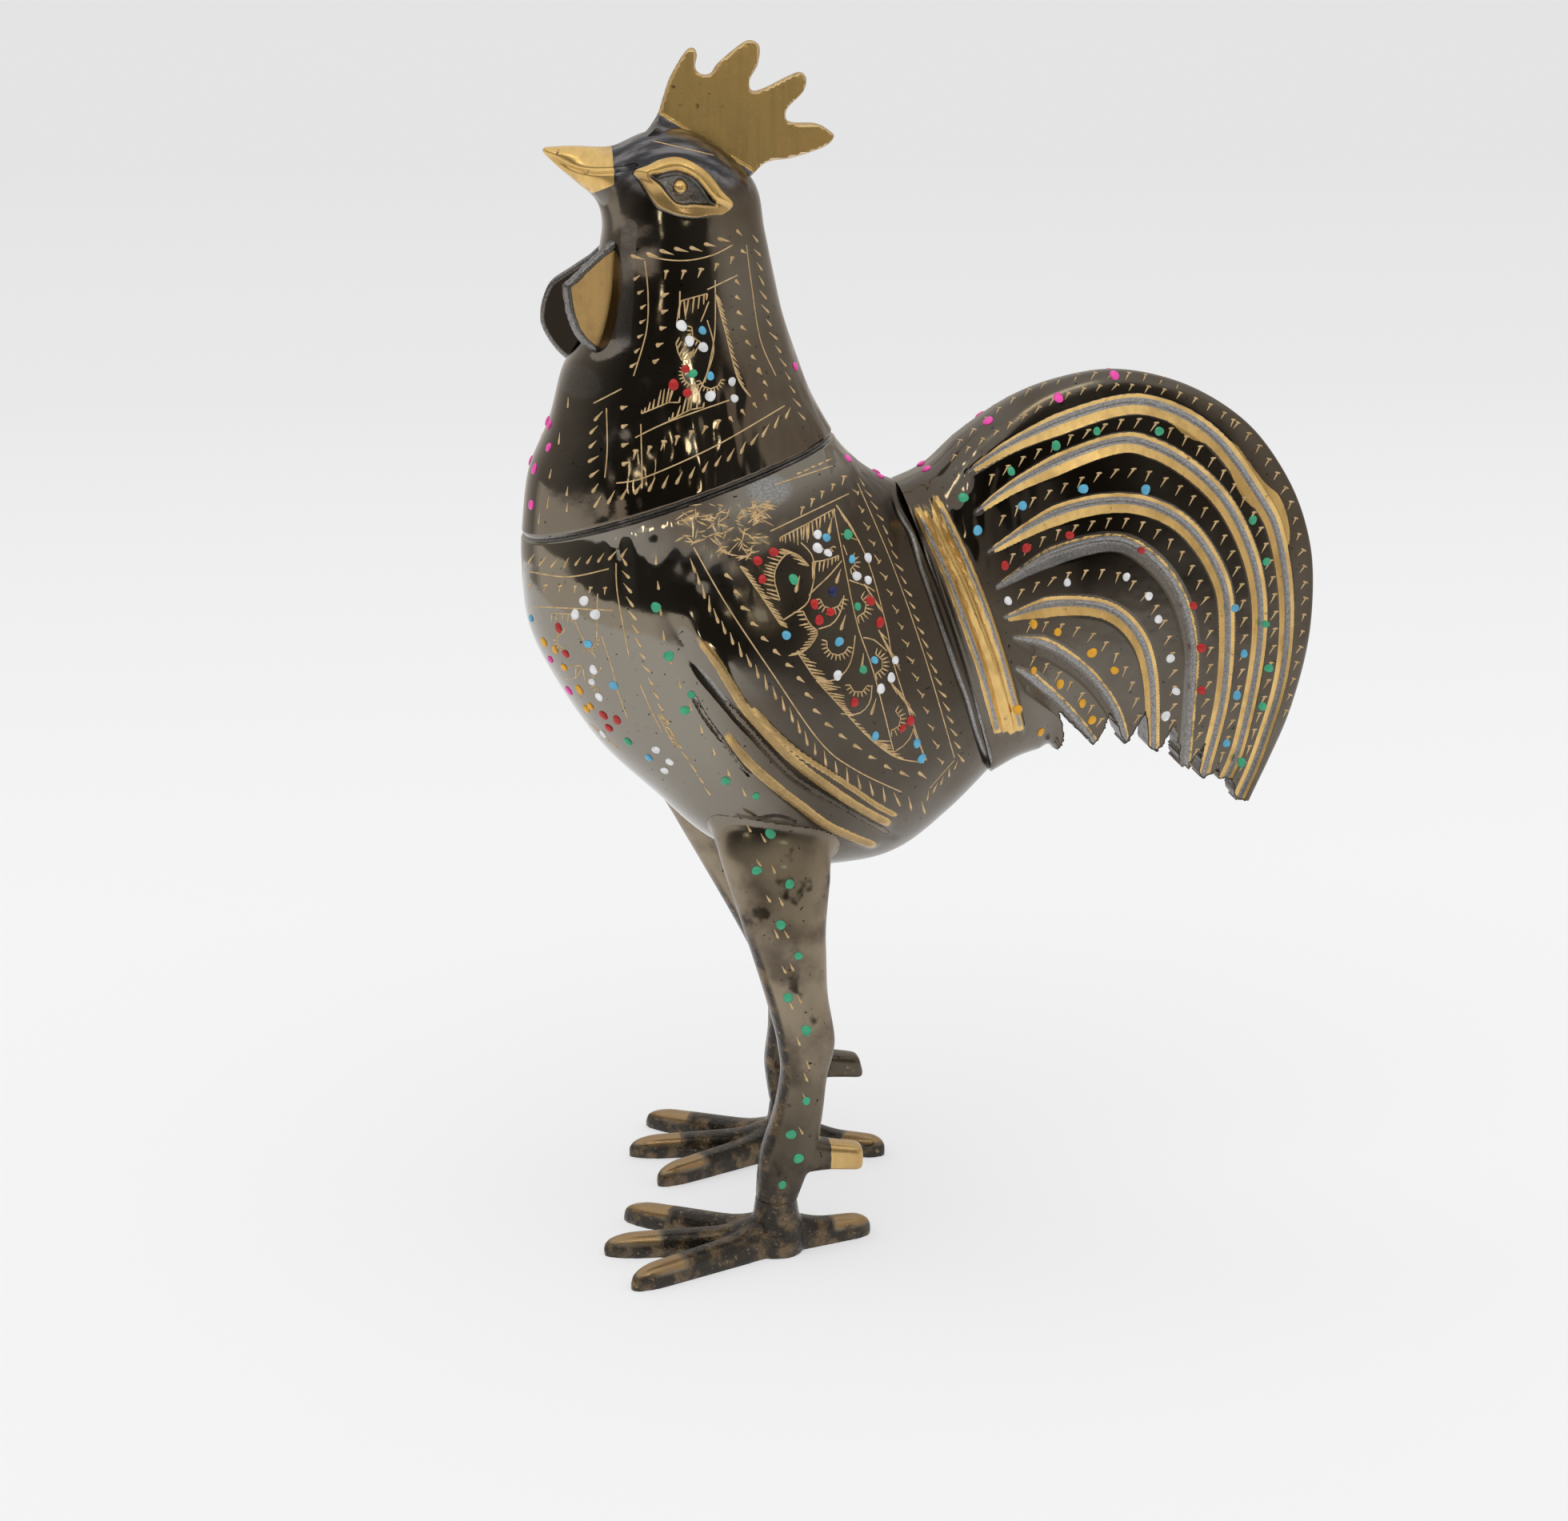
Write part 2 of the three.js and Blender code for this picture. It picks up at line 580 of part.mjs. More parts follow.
function legBack(side, z) {
  const ribs = legRibs(side);
  const above = Math.max(1, ribs.findIndex((rib) => rib[3] >= z));
  const [low, high] = [ribs[above - 1], ribs[above]];
  const share = (z - low[3]) / (high[3] - low[3]);
  return [THREE.MathUtils.lerp(low[2], high[2], share), THREE.MathUtils.lerp(low[5], high[5], share)];
}

function spur(side) {
  const [x, y] = legBack(side, SPUR_HEIGHT);
  const bar = new THREE.CapsuleGeometry(SPUR_RADIUS, SPUR_REACH, 4, 10);
  bar.rotateZ(Math.PI / 2).translate(x + SPUR_REACH / 2 - SPUR_RADIUS, y, SPUR_HEIGHT);
  return toSolid(bar);
}

function leg(side) {
  const studTop = BOSS_TOP + WASHER_THICKNESS + NUT_THICKNESS + 2 * FIT_GAP + STUD_END;
  const bodySpace = toSolid(loft(bodyRibs(-FIT_GAP)));
  const foot = ankle(side);
  const limb = toSolid(loft(legRibs(side), { sides: LEG_SIDES, fullness: LEG_FULLNESS, egg: 0 }));
  const stud = upright(STUD_RADIUS, STUD_ROOT, studTop, STUD_X, side * STUD_Y);
  const peg = upright(PEG_RADIUS, ANKLE_HEIGHT - PEG_DEPTH, ANKLE_HEIGHT + 2, foot.x, foot.y);
  const trimmed = limb.subtract(bodySpace);
  return toGeometry(trimmed.add(spur(side)).add(toSolid(stud)).add(toSolid(peg)));
}

// Feet: flat-soled toes on a hub.
function toe(length) {
  const stations = [0, 0.2, 0.4, 0.6, 0.75, 0.87, 0.95, 1];
  const rings = stations.map((t) => {
    const tip = t > 0.75 ? Math.sqrt(1 - ((t - 0.75) / 0.26) ** 2) : 1;
    const half = TOE_HALF_WIDTH * (1 - 0.25 * t) * tip;
    const instep = INSTEP_RISE * Math.max(0, 1 - (t * length) / 12);
    const height = TOE_HEIGHT * (1 - 0.25 * t) * Math.sqrt(tip) + instep;
    return Array.from({ length: 9 }, (_, i) => {
      const angle = (Math.PI * i) / 8;
      const rise = Math.sin(angle) ** 0.8;
      return new THREE.Vector3(-length * t, half * Math.cos(angle), i % 8 === 0 ? 0 : height * rise);
    });
  });
  return skin(rings);
}

function hub(centre, legBase) {
  const top = ANKLE_HEIGHT - FIT_GAP;
  const levels = [[0, 0], [2, 0.02], [5, 0.25], [8, 0.75], [top, 1]];
  const rings = levels.map(([z, share]) => Array.from({ length: ROUND_SIDES }, (_, i) => {
    const angle = (2 * Math.PI * i) / ROUND_SIDES;
    const halfX = THREE.MathUtils.lerp(HUB_RADIUS, (legBase[2] - legBase[0]) / 2, share);
    const halfY = THREE.MathUtils.lerp(HUB_RADIUS, legBase[4], share);
    return new THREE.Vector3(centre.x + halfX * Math.cos(angle), centre.y + halfY * Math.sin(angle), z);
  }));
  return skin(rings);
}

function foot(side, turn, hindTurn) {
  const centre = ankle(side);
  let solid = toSolid(hub(centre, legRibs(side)[0]));
  const toes = [
    [TOE_LENGTH, turn - TOE_SPREAD], [TOE_LENGTH, turn], [TOE_LENGTH, turn + TOE_SPREAD],
    [HIND_TOE_LENGTH, 180 - hindTurn],
  ];
  toes.forEach(([length, outward]) => {
    const part = toe(length).rotateZ(THREE.MathUtils.degToRad(-side * outward));
    solid = solid.add(toSolid(part.translate(centre.x, centre.y, 0)));
  });
  const socketBottom = ANKLE_HEIGHT - PEG_DEPTH - FIT_GAP;
  const socket = upright(PEG_RADIUS + FIT_GAP, socketBottom, ANKLE_HEIGHT + 1, centre.x, centre.y);
  return toGeometry(solid.subtract(toSolid(socket)));
}

// Washer and nut on a stud.
function ringPlate(outline, thickness, bottom, side) {
  const shape = new THREE.Shape(outline);
  const hole = new THREE.Path().absarc(0, 0, STUD_RADIUS + FIT_GAP, 0, 2 * Math.PI, true);
  shape.holes.push(hole);
  const geometry = new THREE.ExtrudeGeometry(shape, { depth: thickness, bevelEnabled: false, curveSegments: 10 });
  return toGeometry(toSolid(geometry.translate(STUD_X, side * STUD_Y, bottom)));
}

function polygon(count, radius) {
  return Array.from({ length: count }, (_, i) => {
    const angle = (2 * Math.PI * i) / count;
    return new THREE.Vector2(radius * Math.cos(angle), radius * Math.sin(angle));
  });
}

function washer(side) {
  return ringPlate(polygon(ROUND_SIDES, WASHER_RADIUS), WASHER_THICKNESS, BOSS_TOP + FIT_GAP, side);
}

function nut(side) {
  const corner = NUT_ACROSS_FLATS / 2 / Math.cos(Math.PI / 6);
  const bottom = BOSS_TOP + WASHER_THICKNESS + 2 * FIT_GAP;
  return ringPlate(polygon(6, corner), NUT_THICKNESS, bottom, side);
}

// The assembled bird.
function mesh(name, geometry, colour, roughness) {
  const material = new THREE.MeshStandardMaterial({ color: colour, roughness, metalness: 0.9 });
  const piece = new THREE.Mesh(geometry, material);
  piece.name = name;
  return piece;
}

const rooster = new THREE.Group();
const head = new THREE.Group();
rooster.add(mesh('body_shell', bodyShell(), LACQUER_COLOUR, 0.25));
rooster.add(mesh('neck_collar', neckCollar(), BRASS_COLOUR, 0.4));
rooster.add(mesh('tail', tail(), LACQUER_COLOUR, 0.25));
for (const [label, side, turn, hindTurn] of [
  ['left', -1, LEFT_FOOT_TURN, LEFT_HIND_TURN],
  ['right', 1, RIGHT_FOOT_TURN, RIGHT_HIND_TURN],
]) {
  rooster.add(mesh(`${label}_leg`, leg(side), LACQUER_COLOUR, 0.25));
  rooster.add(mesh(`${label}_foot`, foot(side, turn, hindTurn), LACQUER_COLOUR, 0.3));
  rooster.add(mesh(`${label}_leg_washer`, washer(side), BRASS_COLOUR, 0.4));
  rooster.add(mesh(`${label}_leg_nut`, nut(side), BRASS_COLOUR, 0.4));
}
head.add(mesh('head_neck_shell', headNeckShell(), LACQUER_COLOUR, 0.25));
head.add(mesh('comb', comb(), BRASS_COLOUR, 0.35));
head.add(mesh('left_wattle', wattle(LEFT_WATTLE_OUTLINE, -1), BRASS_COLOUR, 0.35));
head.add(mesh('right_wattle', wattle(RIGHT_WATTLE_OUTLINE, 1), BRASS_COLOUR, 0.35));
rooster.add(head);

export default rooster;
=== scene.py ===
import math

import bmesh
import bpy
import numpy as np
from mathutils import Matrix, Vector
from mathutils.bvhtree import BVHTree
from mathutils.geometry import delaunay_2d_cdt


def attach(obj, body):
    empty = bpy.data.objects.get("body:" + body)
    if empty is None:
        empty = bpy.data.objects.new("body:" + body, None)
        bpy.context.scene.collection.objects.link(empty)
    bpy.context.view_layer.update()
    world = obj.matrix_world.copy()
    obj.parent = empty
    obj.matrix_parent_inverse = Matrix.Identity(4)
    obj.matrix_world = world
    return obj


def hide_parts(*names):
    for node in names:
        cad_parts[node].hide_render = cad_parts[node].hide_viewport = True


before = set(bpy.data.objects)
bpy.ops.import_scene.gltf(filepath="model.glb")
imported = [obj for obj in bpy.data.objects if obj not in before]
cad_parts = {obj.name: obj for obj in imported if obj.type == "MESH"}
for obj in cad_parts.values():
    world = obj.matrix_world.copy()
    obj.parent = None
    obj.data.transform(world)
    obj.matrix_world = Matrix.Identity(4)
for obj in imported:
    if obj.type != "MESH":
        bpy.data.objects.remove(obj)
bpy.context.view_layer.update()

# A cast brass rooster in dark lacquer, engraved and set with enamel dots.
# Shapes are in millimetres and become metres when a mesh is made. The bird faces -X.
MM = 0.001
random = np.random.default_rng(7)

# The photograph's camera, and its image size in pixels.
AZIMUTH = math.radians(-8.0)
ELEVATION = math.radians(14.9)
TARGET = np.array([-27.0, 0.0, 90.0])
DISTANCE = 615.0
FOCAL_PIXELS = 4000.0
PHOTO_WIDTH = 1960
PHOTO_HEIGHT = 1901
SENSOR_WIDTH = 36.0

# Fits and walls, as in the solids.
WALL = 3.0
FIT_GAP = 0.3
SPIGOT_LENGTH = 11.0
SPIGOT_INSET = 6.0
SPIGOT_TAPER = 2.0

# Ribs are cross-sections: front x, front z, back x, back z, half-width and y of the centre if not 0.
NECK_SEAM = (-76.4, 135.4, -17.9, 153.7, 20.5)
TAIL_JOINT = (12.5, 87.5, -6.0, 144.0, 15.5)
NECK_RIBS = (
    NECK_SEAM,
    (-74.9, 147.1, -22.0, 161.0, 18.8),
    (-70.9, 156.8, -24.9, 168.5, 16.8),
    (-68.2, 166.4, -27.4, 176.0, 15.2),
    (-64.4, 172.9, -28.9, 182.6, 14.2),
    (-62.3, 179.5, -30.7, 191.2, 13.4),
    (-61.3, 186.8, -32.6, 199.9, 13.0),
    (-60.5, 192.6, -39.8, 207.0, 11.8),
    (-61.6, 196.9, -46.8, 210.0, 8.8),
    (-64.9, 200.0, -52.8, 208.9, 5.6),
    (-68.0, 202.6, -58.6, 206.6, 3.3),
    (-70.3, 204.7, -65.8, 206.7, 1.9),
    (-71.2, 205.9, -70.6, 206.5, 0.6),
)
BODY_RIBS = (
    NECK_SEAM,
    (-76.5, 130.6, -17.4, 152.6, 22.6),
    (-75.6, 119.1, -16.4, 151.3, 25.8),
    (-71.1, 108.9, -15.2, 150.0, 28.2),
    (-62.8, 96.1, -14.0, 148.9, 29.6),
    (-52.6, 86.0, -12.8, 147.8, 30.0),
    (-42.0, 76.4, -11.6, 146.9, 29.4),
    (-28.6, 71.0, -10.4, 146.1, 28.0),
    (-14.8, 70.6, -9.2, 145.4, 25.4),
    (-5.0, 73.0, -8.0, 144.8, 22.0),
    (4.6, 80.0, -7.0, 144.4, 18.6),
    TAIL_JOINT,
)
TAIL_RIBS = (
    TAIL_JOINT,
    (17.2, 90.0, 0.1, 146.9, 15.0),
    (21.7, 91.2, 6.5, 152.8, 12.6),
    (25.0, 91.4, 15.6, 159.0, 9.6),
    (27.6, 82.8, 24.8, 162.6, 7.6),
    (30.6, 81.0, 35.6, 164.2, 6.4),
    (33.6, 80.0, 46.5, 162.3, 5.7),
    (36.6, 79.0, 56.0, 158.0, 5.2),
    (39.6, 78.0, 64.1, 151.6, 4.8),
    (42.6, 77.0, 70.9, 142.1, 4.5),
    (45.6, 76.0, 74.8, 132.7, 4.2),
    (48.6, 75.0, 76.4, 123.2, 3.9),
    (51.6, 74.0, 76.0, 110.5, 3.6),
    (54.6, 73.0, 73.1, 97.7, 3.3),
    (58.0, 72.0, 69.3, 88.1, 3.0),
    (61.2, 71.3, 64.4, 78.0, 2.8),
)
LEG_RIBS = (
    (-35.9, 10.5, -28.2, 10.5, 4.2, -25.0),
    (-35.5, 16.0, -26.3, 15.4, 4.2, -24.8),
    (-34.8, 20.5, -24.4, 20.0, 4.1, -24.6),
    (-32.4, 27.8, -23.1, 27.4, 3.9, -24.2),
    (-31.0, 35.2, -22.2, 34.7, 4.0, -23.8),
    (-31.4, 40.0, -21.0, 39.5, 4.8, -23.5),
    (-32.0, 43.5, -20.8, 43.0, 5.2, -23.2),
    (-34.0, 51.1, -22.0, 50.6, 5.8, -22.6),
    (-36.2, 58.5, -22.2, 57.9, 6.4, -21.7),
    (-38.2, 65.0, -22.1, 64.3, 6.8, -20.7),
    (-41.3, 75.1, -20.8, 74.3, 6.9, -18.5),
    (-43.0, 81.0, -20.0, 80.5, 6.2, -17.0),
    (-43.0, 89.0, -20.0, 89.0, 4.5, -15.5),
)
SHELL_FULLNESS = 0.9
SHELL_EGG = 0.1
TAIL_FULLNESS = 0.62
LEG_FULLNESS = 0.6
NECK_HOLLOW_RIB = 6
BODY_HOLLOW_RIB = 9
BODY_GRID = (260, 560)
NECK_GRID = (300, 420)
TAIL_GRID = (320, 640)

# Legs and feet. Turns are in degrees, outward is positive: front toes, hind toe.
LEG_VOXEL = 0.45
FOOT_VOXEL = 0.42
LEFT_FOOT_TURNS = (-3.0, -17.0)
RIGHT_FOOT_TURNS = (2.0, -16.0)
SOLE_CUT = 0.35
HIP_HEIGHT = 52.0
RIGHT_LEG_RAKE = 0.23
SPUR_HEIGHT = 19.0
SPUR_START = -30.5
SPUR_ROOT = 6.5
SPUR_Y = -24.6
SPUR_DROP = 0.12
SPUR_SECTIONS = ((2.0, 2.7, 2.75), (7.6, 2.4, 2.5), (8.3, 2.1, 2.2), (8.6, 1.5, 1.6))
HIP_INSET = 0.35
HIP_BOX = ((-62.0, 4.0), (-38.0, 2.0), (62.0, 112.0))
FILLET_ROUNDS = 220
FILLET_REACH = (2.5, 6.5)
STUD_X = -31.0
STUD_Y = 16.5
STUD_RADIUS = 3.0
STUD_TOP = 98.8
BOSS_RADIUS = 7.0
BOSS_TOP = 91.0
BOSS_SUNK = 0.8
STUD_FOOT = 76.0
ANKLE_X = -32.05
ANKLE_Y = 25.0
ANKLE_HEIGHT = 10.2
TOE_LENGTH = 33.0
HIND_TOE_LENGTH = 20.0
TOE_HALF_WIDTH = 3.0
TOE_HEIGHT = 5.2
TOE_TIP = 0.8
INSTEP_RISE = 4.0
INSTEP_REACH = 12.0
TOE_SPREAD = 31.0
HUB_PROFILE = ((5.2, 5.2, 0.0), (5.4, 5.4, 2.0), (5.0, 4.9, 5.0), (4.3, 4.5, 8.0), (4.0, 4.3, ANKLE_HEIGHT),
               (3.9, 4.2, ANKLE_HEIGHT + 1.0))

# Plates in side view, (x, z).
WING_OUTLINE = (
    (-47.4, 136.8), (-49.6, 133.8), (-50.1, 128.7), (-49.3, 123.4), (-41.1, 113.6), (-35.5, 106.0),
    (-28.2, 96.7), (-19.3, 89.6), (-10.6, 85.8), (1.0, 87.9), (6.2, 95.4), (-0.8, 118.5),
    (-8.5, 139.5), (-13.0, 146.7), (-18.8, 146.7), (-21.3, 143.8), (-32.4, 137.7),
)
COMB_OUTLINE = (
    (-50.0, 212.6), (-49.1, 215.4), (-47.8, 218.9), (-45.1, 223.2), (-43.6, 223.9), (-42.9, 222.7),
    (-43.2, 220.5), (-42.2, 219.3), (-40.5, 219.4), (-39.0, 221.3), (-35.0, 224.5), (-33.1, 225.2),
    (-31.5, 224.1), (-31.8, 220.9), (-33.3, 218.1), (-32.9, 216.3), (-30.7, 216.7), (-26.3, 218.8),
    (-24.1, 219.5), (-22.9, 218.3), (-23.5, 215.9), (-26.3, 213.1), (-26.6, 211.2), (-25.2, 210.5),
    (-21.1, 210.3), (-18.4, 208.8), (-17.8, 207.7), (-19.6, 206.0), (-25.5, 204.1), (-30.3, 203.3),
    (-34.5, 200.2), (-38.5, 203.0), (-43.0, 205.5), (-47.0, 206.0), (-54.2, 206.4),
    (-53.7, 208.2), (-52.2, 209.3), (-50.9, 211.0),
)
COMB_ROOT = (-49.9, 212.2, 0.615)
COMB_FLARE = 1.4
# Plates: half thickness, how far in from the rim they are rounded, and spacing of their points.
COMB_PLATE = (1.5, 0.4, 0.5)
WATTLE_PLATE = (1.0, 0.6, 0.4)
PLATE_CORNER = math.radians(60)
TIP_CORNER = math.radians(50)
LEFT_WATTLE = (
    (-58.9, 190.4), (-63.1, 187.9), (-67.8, 184.2), (-69.4, 183.0), (-69.4, 180.8), (-68.8, 177.3),
    (-67.0, 173.3), (-64.1, 170.6), (-61.1, 169.2), (-58.4, 171.5), (-57.8, 179.0), (-57.8, 186.0),
)
RIGHT_WATTLE = (
    (-59.2, 188.2), (-63.0, 186.0), (-66.4, 183.8), (-70.0, 181.4), (-71.6, 178.7), (-72.4, 175.5),
    (-72.1, 172.5), (-69.6, 168.6), (-66.2, 166.2), (-62.2, 167.4), (-58.6, 172.6), (-57.8, 180.6),
)
WATTLE_SPLAY = math.radians(22.0)
WATTLE_ROOT_Y = 6.5
FEATHER_TIPS = (
    (21.5, 90.9), (25.6, 91.6), (26.6, 94.3), (25.1, 99.9), (30.7, 94.2), (32.8, 91.9), (34.9, 95.6),
    (35.5, 98.5), (37.5, 95.5), (39.2, 91.7), (40.7, 94.3), (42.9, 98.4), (44.0, 91.0), (45.6, 90.1),
    (46.8, 92.0), (48.8, 95.8), (50.0, 90.3), (50.0, 87.4), (52.1, 86.2), (52.7, 88.1), (55.0, 91.2),
    (54.0, 85.8), (55.1, 83.8), (57.9, 86.0), (58.4, 84.0), (60.7, 83.7), (62.1, 79.6), (64.0, 79.0),
    (70.0, 79.0),
)
TIP_POINTS = 260
TIP_ROUGHNESS = 0.13
BELOW_TIPS = ((90.0, 79.0), (90.0, 55.0), (21.5, 55.0))

# Grooves between the tail's feathers, from the root round to the tips.
TAIL_GROOVES = (
    ((6.5, 146.5), (17.0, 152.0), (34.5, 157.5), (44.5, 157.0), (55.0, 151.0), (64.0, 139.5), (68.0, 132.0),
     (70.5, 118.5), (70.0, 104.0), (66.0, 89.0), (62.5, 80.0)),
    ((8.0, 139.5), (17.0, 144.5), (34.5, 150.5), (43.0, 149.5), (52.0, 144.0), (59.0, 136.0), (64.0, 124.0),
     (65.0, 110.0), (62.0, 91.0), (58.5, 82.0)),
    ((10.0, 132.0), (23.0, 137.5), (34.5, 139.5), (43.5, 138.0), (51.0, 133.0), (57.0, 123.5), (58.5, 113.5),
     (58.0, 100.0), (55.0, 85.5), (53.5, 80.0)),
    ((11.5, 125.5), (23.0, 130.0), (35.0, 132.0), (42.5, 128.5), (48.5, 121.0), (51.5, 110.5), (51.5, 99.0),
     (51.0, 84.0)),
    ((13.0, 119.5), (23.0, 120.5), (34.0, 119.0), (40.5, 113.5), (43.5, 105.0), (44.5, 91.5), (44.5, 87.0)),
    ((15.0, 115.5), (23.0, 112.0), (30.5, 106.5), (36.0, 99.5), (38.5, 93.0), (39.5, 88.0)),
    ((15.5, 109.5), (20.0, 105.5), (26.0, 100.0), (32.0, 93.0), (34.0, 89.0)),
)
GROOVE_DEPTH = 1.15
GROOVE_HALF_WIDTH = 2.15
# A groove: its depth at the root as a share, from where along it it is full, how far its bed lies off
# its middle as a share of the half-width, and where its flanks run out.
GROOVE_ROOT = 0.3
GROOVE_FULL_FROM = 0.15
GROOVE_BED = 0.22
GROOVE_RIM = (0.84, 1.0)
# How far each groove's inner flank is worn to brass.
GROOVE_WEAR = (1.0, 1.0, 0.95, 0.3, 0.9, 0.35, 0.3)

# The rear is duller, apart from the root of the tail.
WING_MATTNESS = 0.55
TAIL_MATTNESS = 0.3
TAIL_GLOSS = (8.0, 138.0)
TAIL_BLACK = (23.0, 138.0)
TAIL_UNDER = ((40.0, 75.0), (5.0, 100.0))
# Edge of the lighter breast, a painted reflection of the white table, in side view: a point and the direction
# across it.
BREAST_REFLECTION_EDGE = (-51.0, 128.0, 0.92, 0.39)

# Lines of the relief, in pixels of the photograph.
TAIL_ROOT_GROOVE = ((1110, 605), (1122, 637), (1140, 667), (1152, 707), (1167, 750), (1182, 795),
                    (1197, 840), (1210, 875), (1222, 917), (1235, 955))
TAIL_BANDS = (
    ((1137, 607), (1147, 637), (1167, 680), (1187, 725), (1207, 780), (1225, 832), (1240, 887), (1250, 925)),
    ((1155, 622), (1162, 637), (1183, 685), (1205, 730), (1225, 780), (1242, 825), (1257, 875), (1268, 925)),
    ((1153, 593), (1180, 645), (1205, 697), (1225, 745), (1242, 792), (1256, 836), (1268, 880), (1278, 922)),
)
WING_RIDGES = (
    ((856, 778), (876, 800), (896, 826), (916, 860), (934, 888), (958, 916), (986, 944), (1010, 964),
     (1040, 986), (1066, 1004), (1090, 1018), (1120, 1033)),
    ((930, 868), (954, 898), (982, 926), (1010, 948), (1038, 966), (1070, 988), (1096, 1006), (1126, 1022)),
    ((898, 900), (914, 926), (936, 952), (958, 972), (982, 992), (1006, 1010), (1030, 1028), (1056, 1041),
     (1080, 1051), (1100, 1058)),
)
WING_FLUTES = (
    ((858, 808), (874, 836), (896, 864), (920, 894), (942, 918), (966, 946), (990, 970), (1016, 988),
     (1046, 1006), (1074, 1022), (1098, 1036), (1124, 1050)),
    ((860, 856), (880, 894), (906, 930), (926, 958), (942, 974)),
)
LID_OUTLINE = ((794, 216), (811, 209), (826, 202), (845, 199), (862, 204), (878, 214), (889, 225),
               (901, 241), (914, 256), (904, 267), (889, 268), (870, 271), (848, 268), (832, 262),
               (822, 256), (810, 240), (800, 225))
EYE_OUTLINE = ((812, 220), (826, 216), (845, 212), (860, 216), (874, 226), (885, 240), (897, 256),
               (882, 257), (867, 256), (855, 257), (844, 254), (835, 245), (825, 232))
PUPIL = (851, 232)
EYE_CORNERS = ((797, 219), (911, 258))
TAIL_BRASS_PATCH = (
    (1367, 508), (1389, 501), (1426, 501), (1455, 508), (1485, 521), (1515, 540), (1544, 555), (1561, 577),
    (1581, 603), (1600, 621), (1611, 654), (1611, 680), (1602, 677), (1592, 662), (1579, 640), (1563, 632),
    (1550, 617), (1540, 595), (1531, 569), (1511, 556), (1485, 547), (1463, 529), (1437, 514), (1404, 514),
    (1385, 518), (1370, 525),
)
THROAT_PATCH = (724, 478)
# Middle of a painted highlight on the shoulder, coloured as bare metal.
SHOULDER_HIGHLIGHT = (962, 612)
CRINKLED_PATCH = (905, 712)
WATTLE_STRIP = ((787, 283), (784, 330), (782, 380), (779, 425))
MOUTH_LINE = ((682, 190), (700, 204), (730, 214), (768, 213), (800, 206))
BEAK_EDGE = -58.5

# Ornament nearer to the median plane than this isn't mirrored.
MEDIAN_BAND = 0.8
MIRROR = np.array([1.0, -1.0, 1.0])

# Distances over this are of no account.
FAR = 8.0

# Fine relief: heights, depths and half-widths, and from where to where a form or a finish runs out.
WING_RELIEF = 0.9
WING_EDGE = (-2.0, 2.4)
WING_END_X = (-36.0, -8.0)
WING_END_Z = (118.0, 134.0)
RIDGE_HEIGHTS = (0.75, 0.4, 0.65)
RIDGE_WIDTHS = (0.95, 0.55, 0.95)
RIDGE_ENDS = (0.14, 0.93)
FLUTE_DEPTH = 0.7
FLUTE_WIDTHS = (0.8, 0.45)
ROOT_GROOVE_DEPTH = 0.6
ROOT_GROOVE_WIDTH = 0.5
BAND_HEIGHTS = (0.9, 0.3, 0.8)
BAND_RUBBED = (0.9, 0.0, 0.75)
BAND_WIDTH = 0.75
VALLEY_DEPTH = 0.4
VALLEY_WIDTH = 0.5
SEAM_DEPTH = 0.6
SEAM_WIDTH = 0.8
SEAM_BARE = (0.2, 0.55)
DENT_FRONT = (-66.0, -61.0)
BODY_DENTS = 16.0
NECK_DENTS = 26.0
CRINKLED_REACH = (5.0, 12.0)
# Reach of the painted shoulder highlight.
SHOULDER_HIGHLIGHT_REACH = (7.0, 4.0)
THROAT_REACH = (5.5, 4.0)
LID_RISE = 0.25
LID_ROLL = 0.8
EYE_DEPTH = 1.1
PUPIL_RISE = 0.9
PUPIL_RADIUS = 1.3
MOUTH_DEPTH = 0.45
MOUTH_WIDTH = 0.4

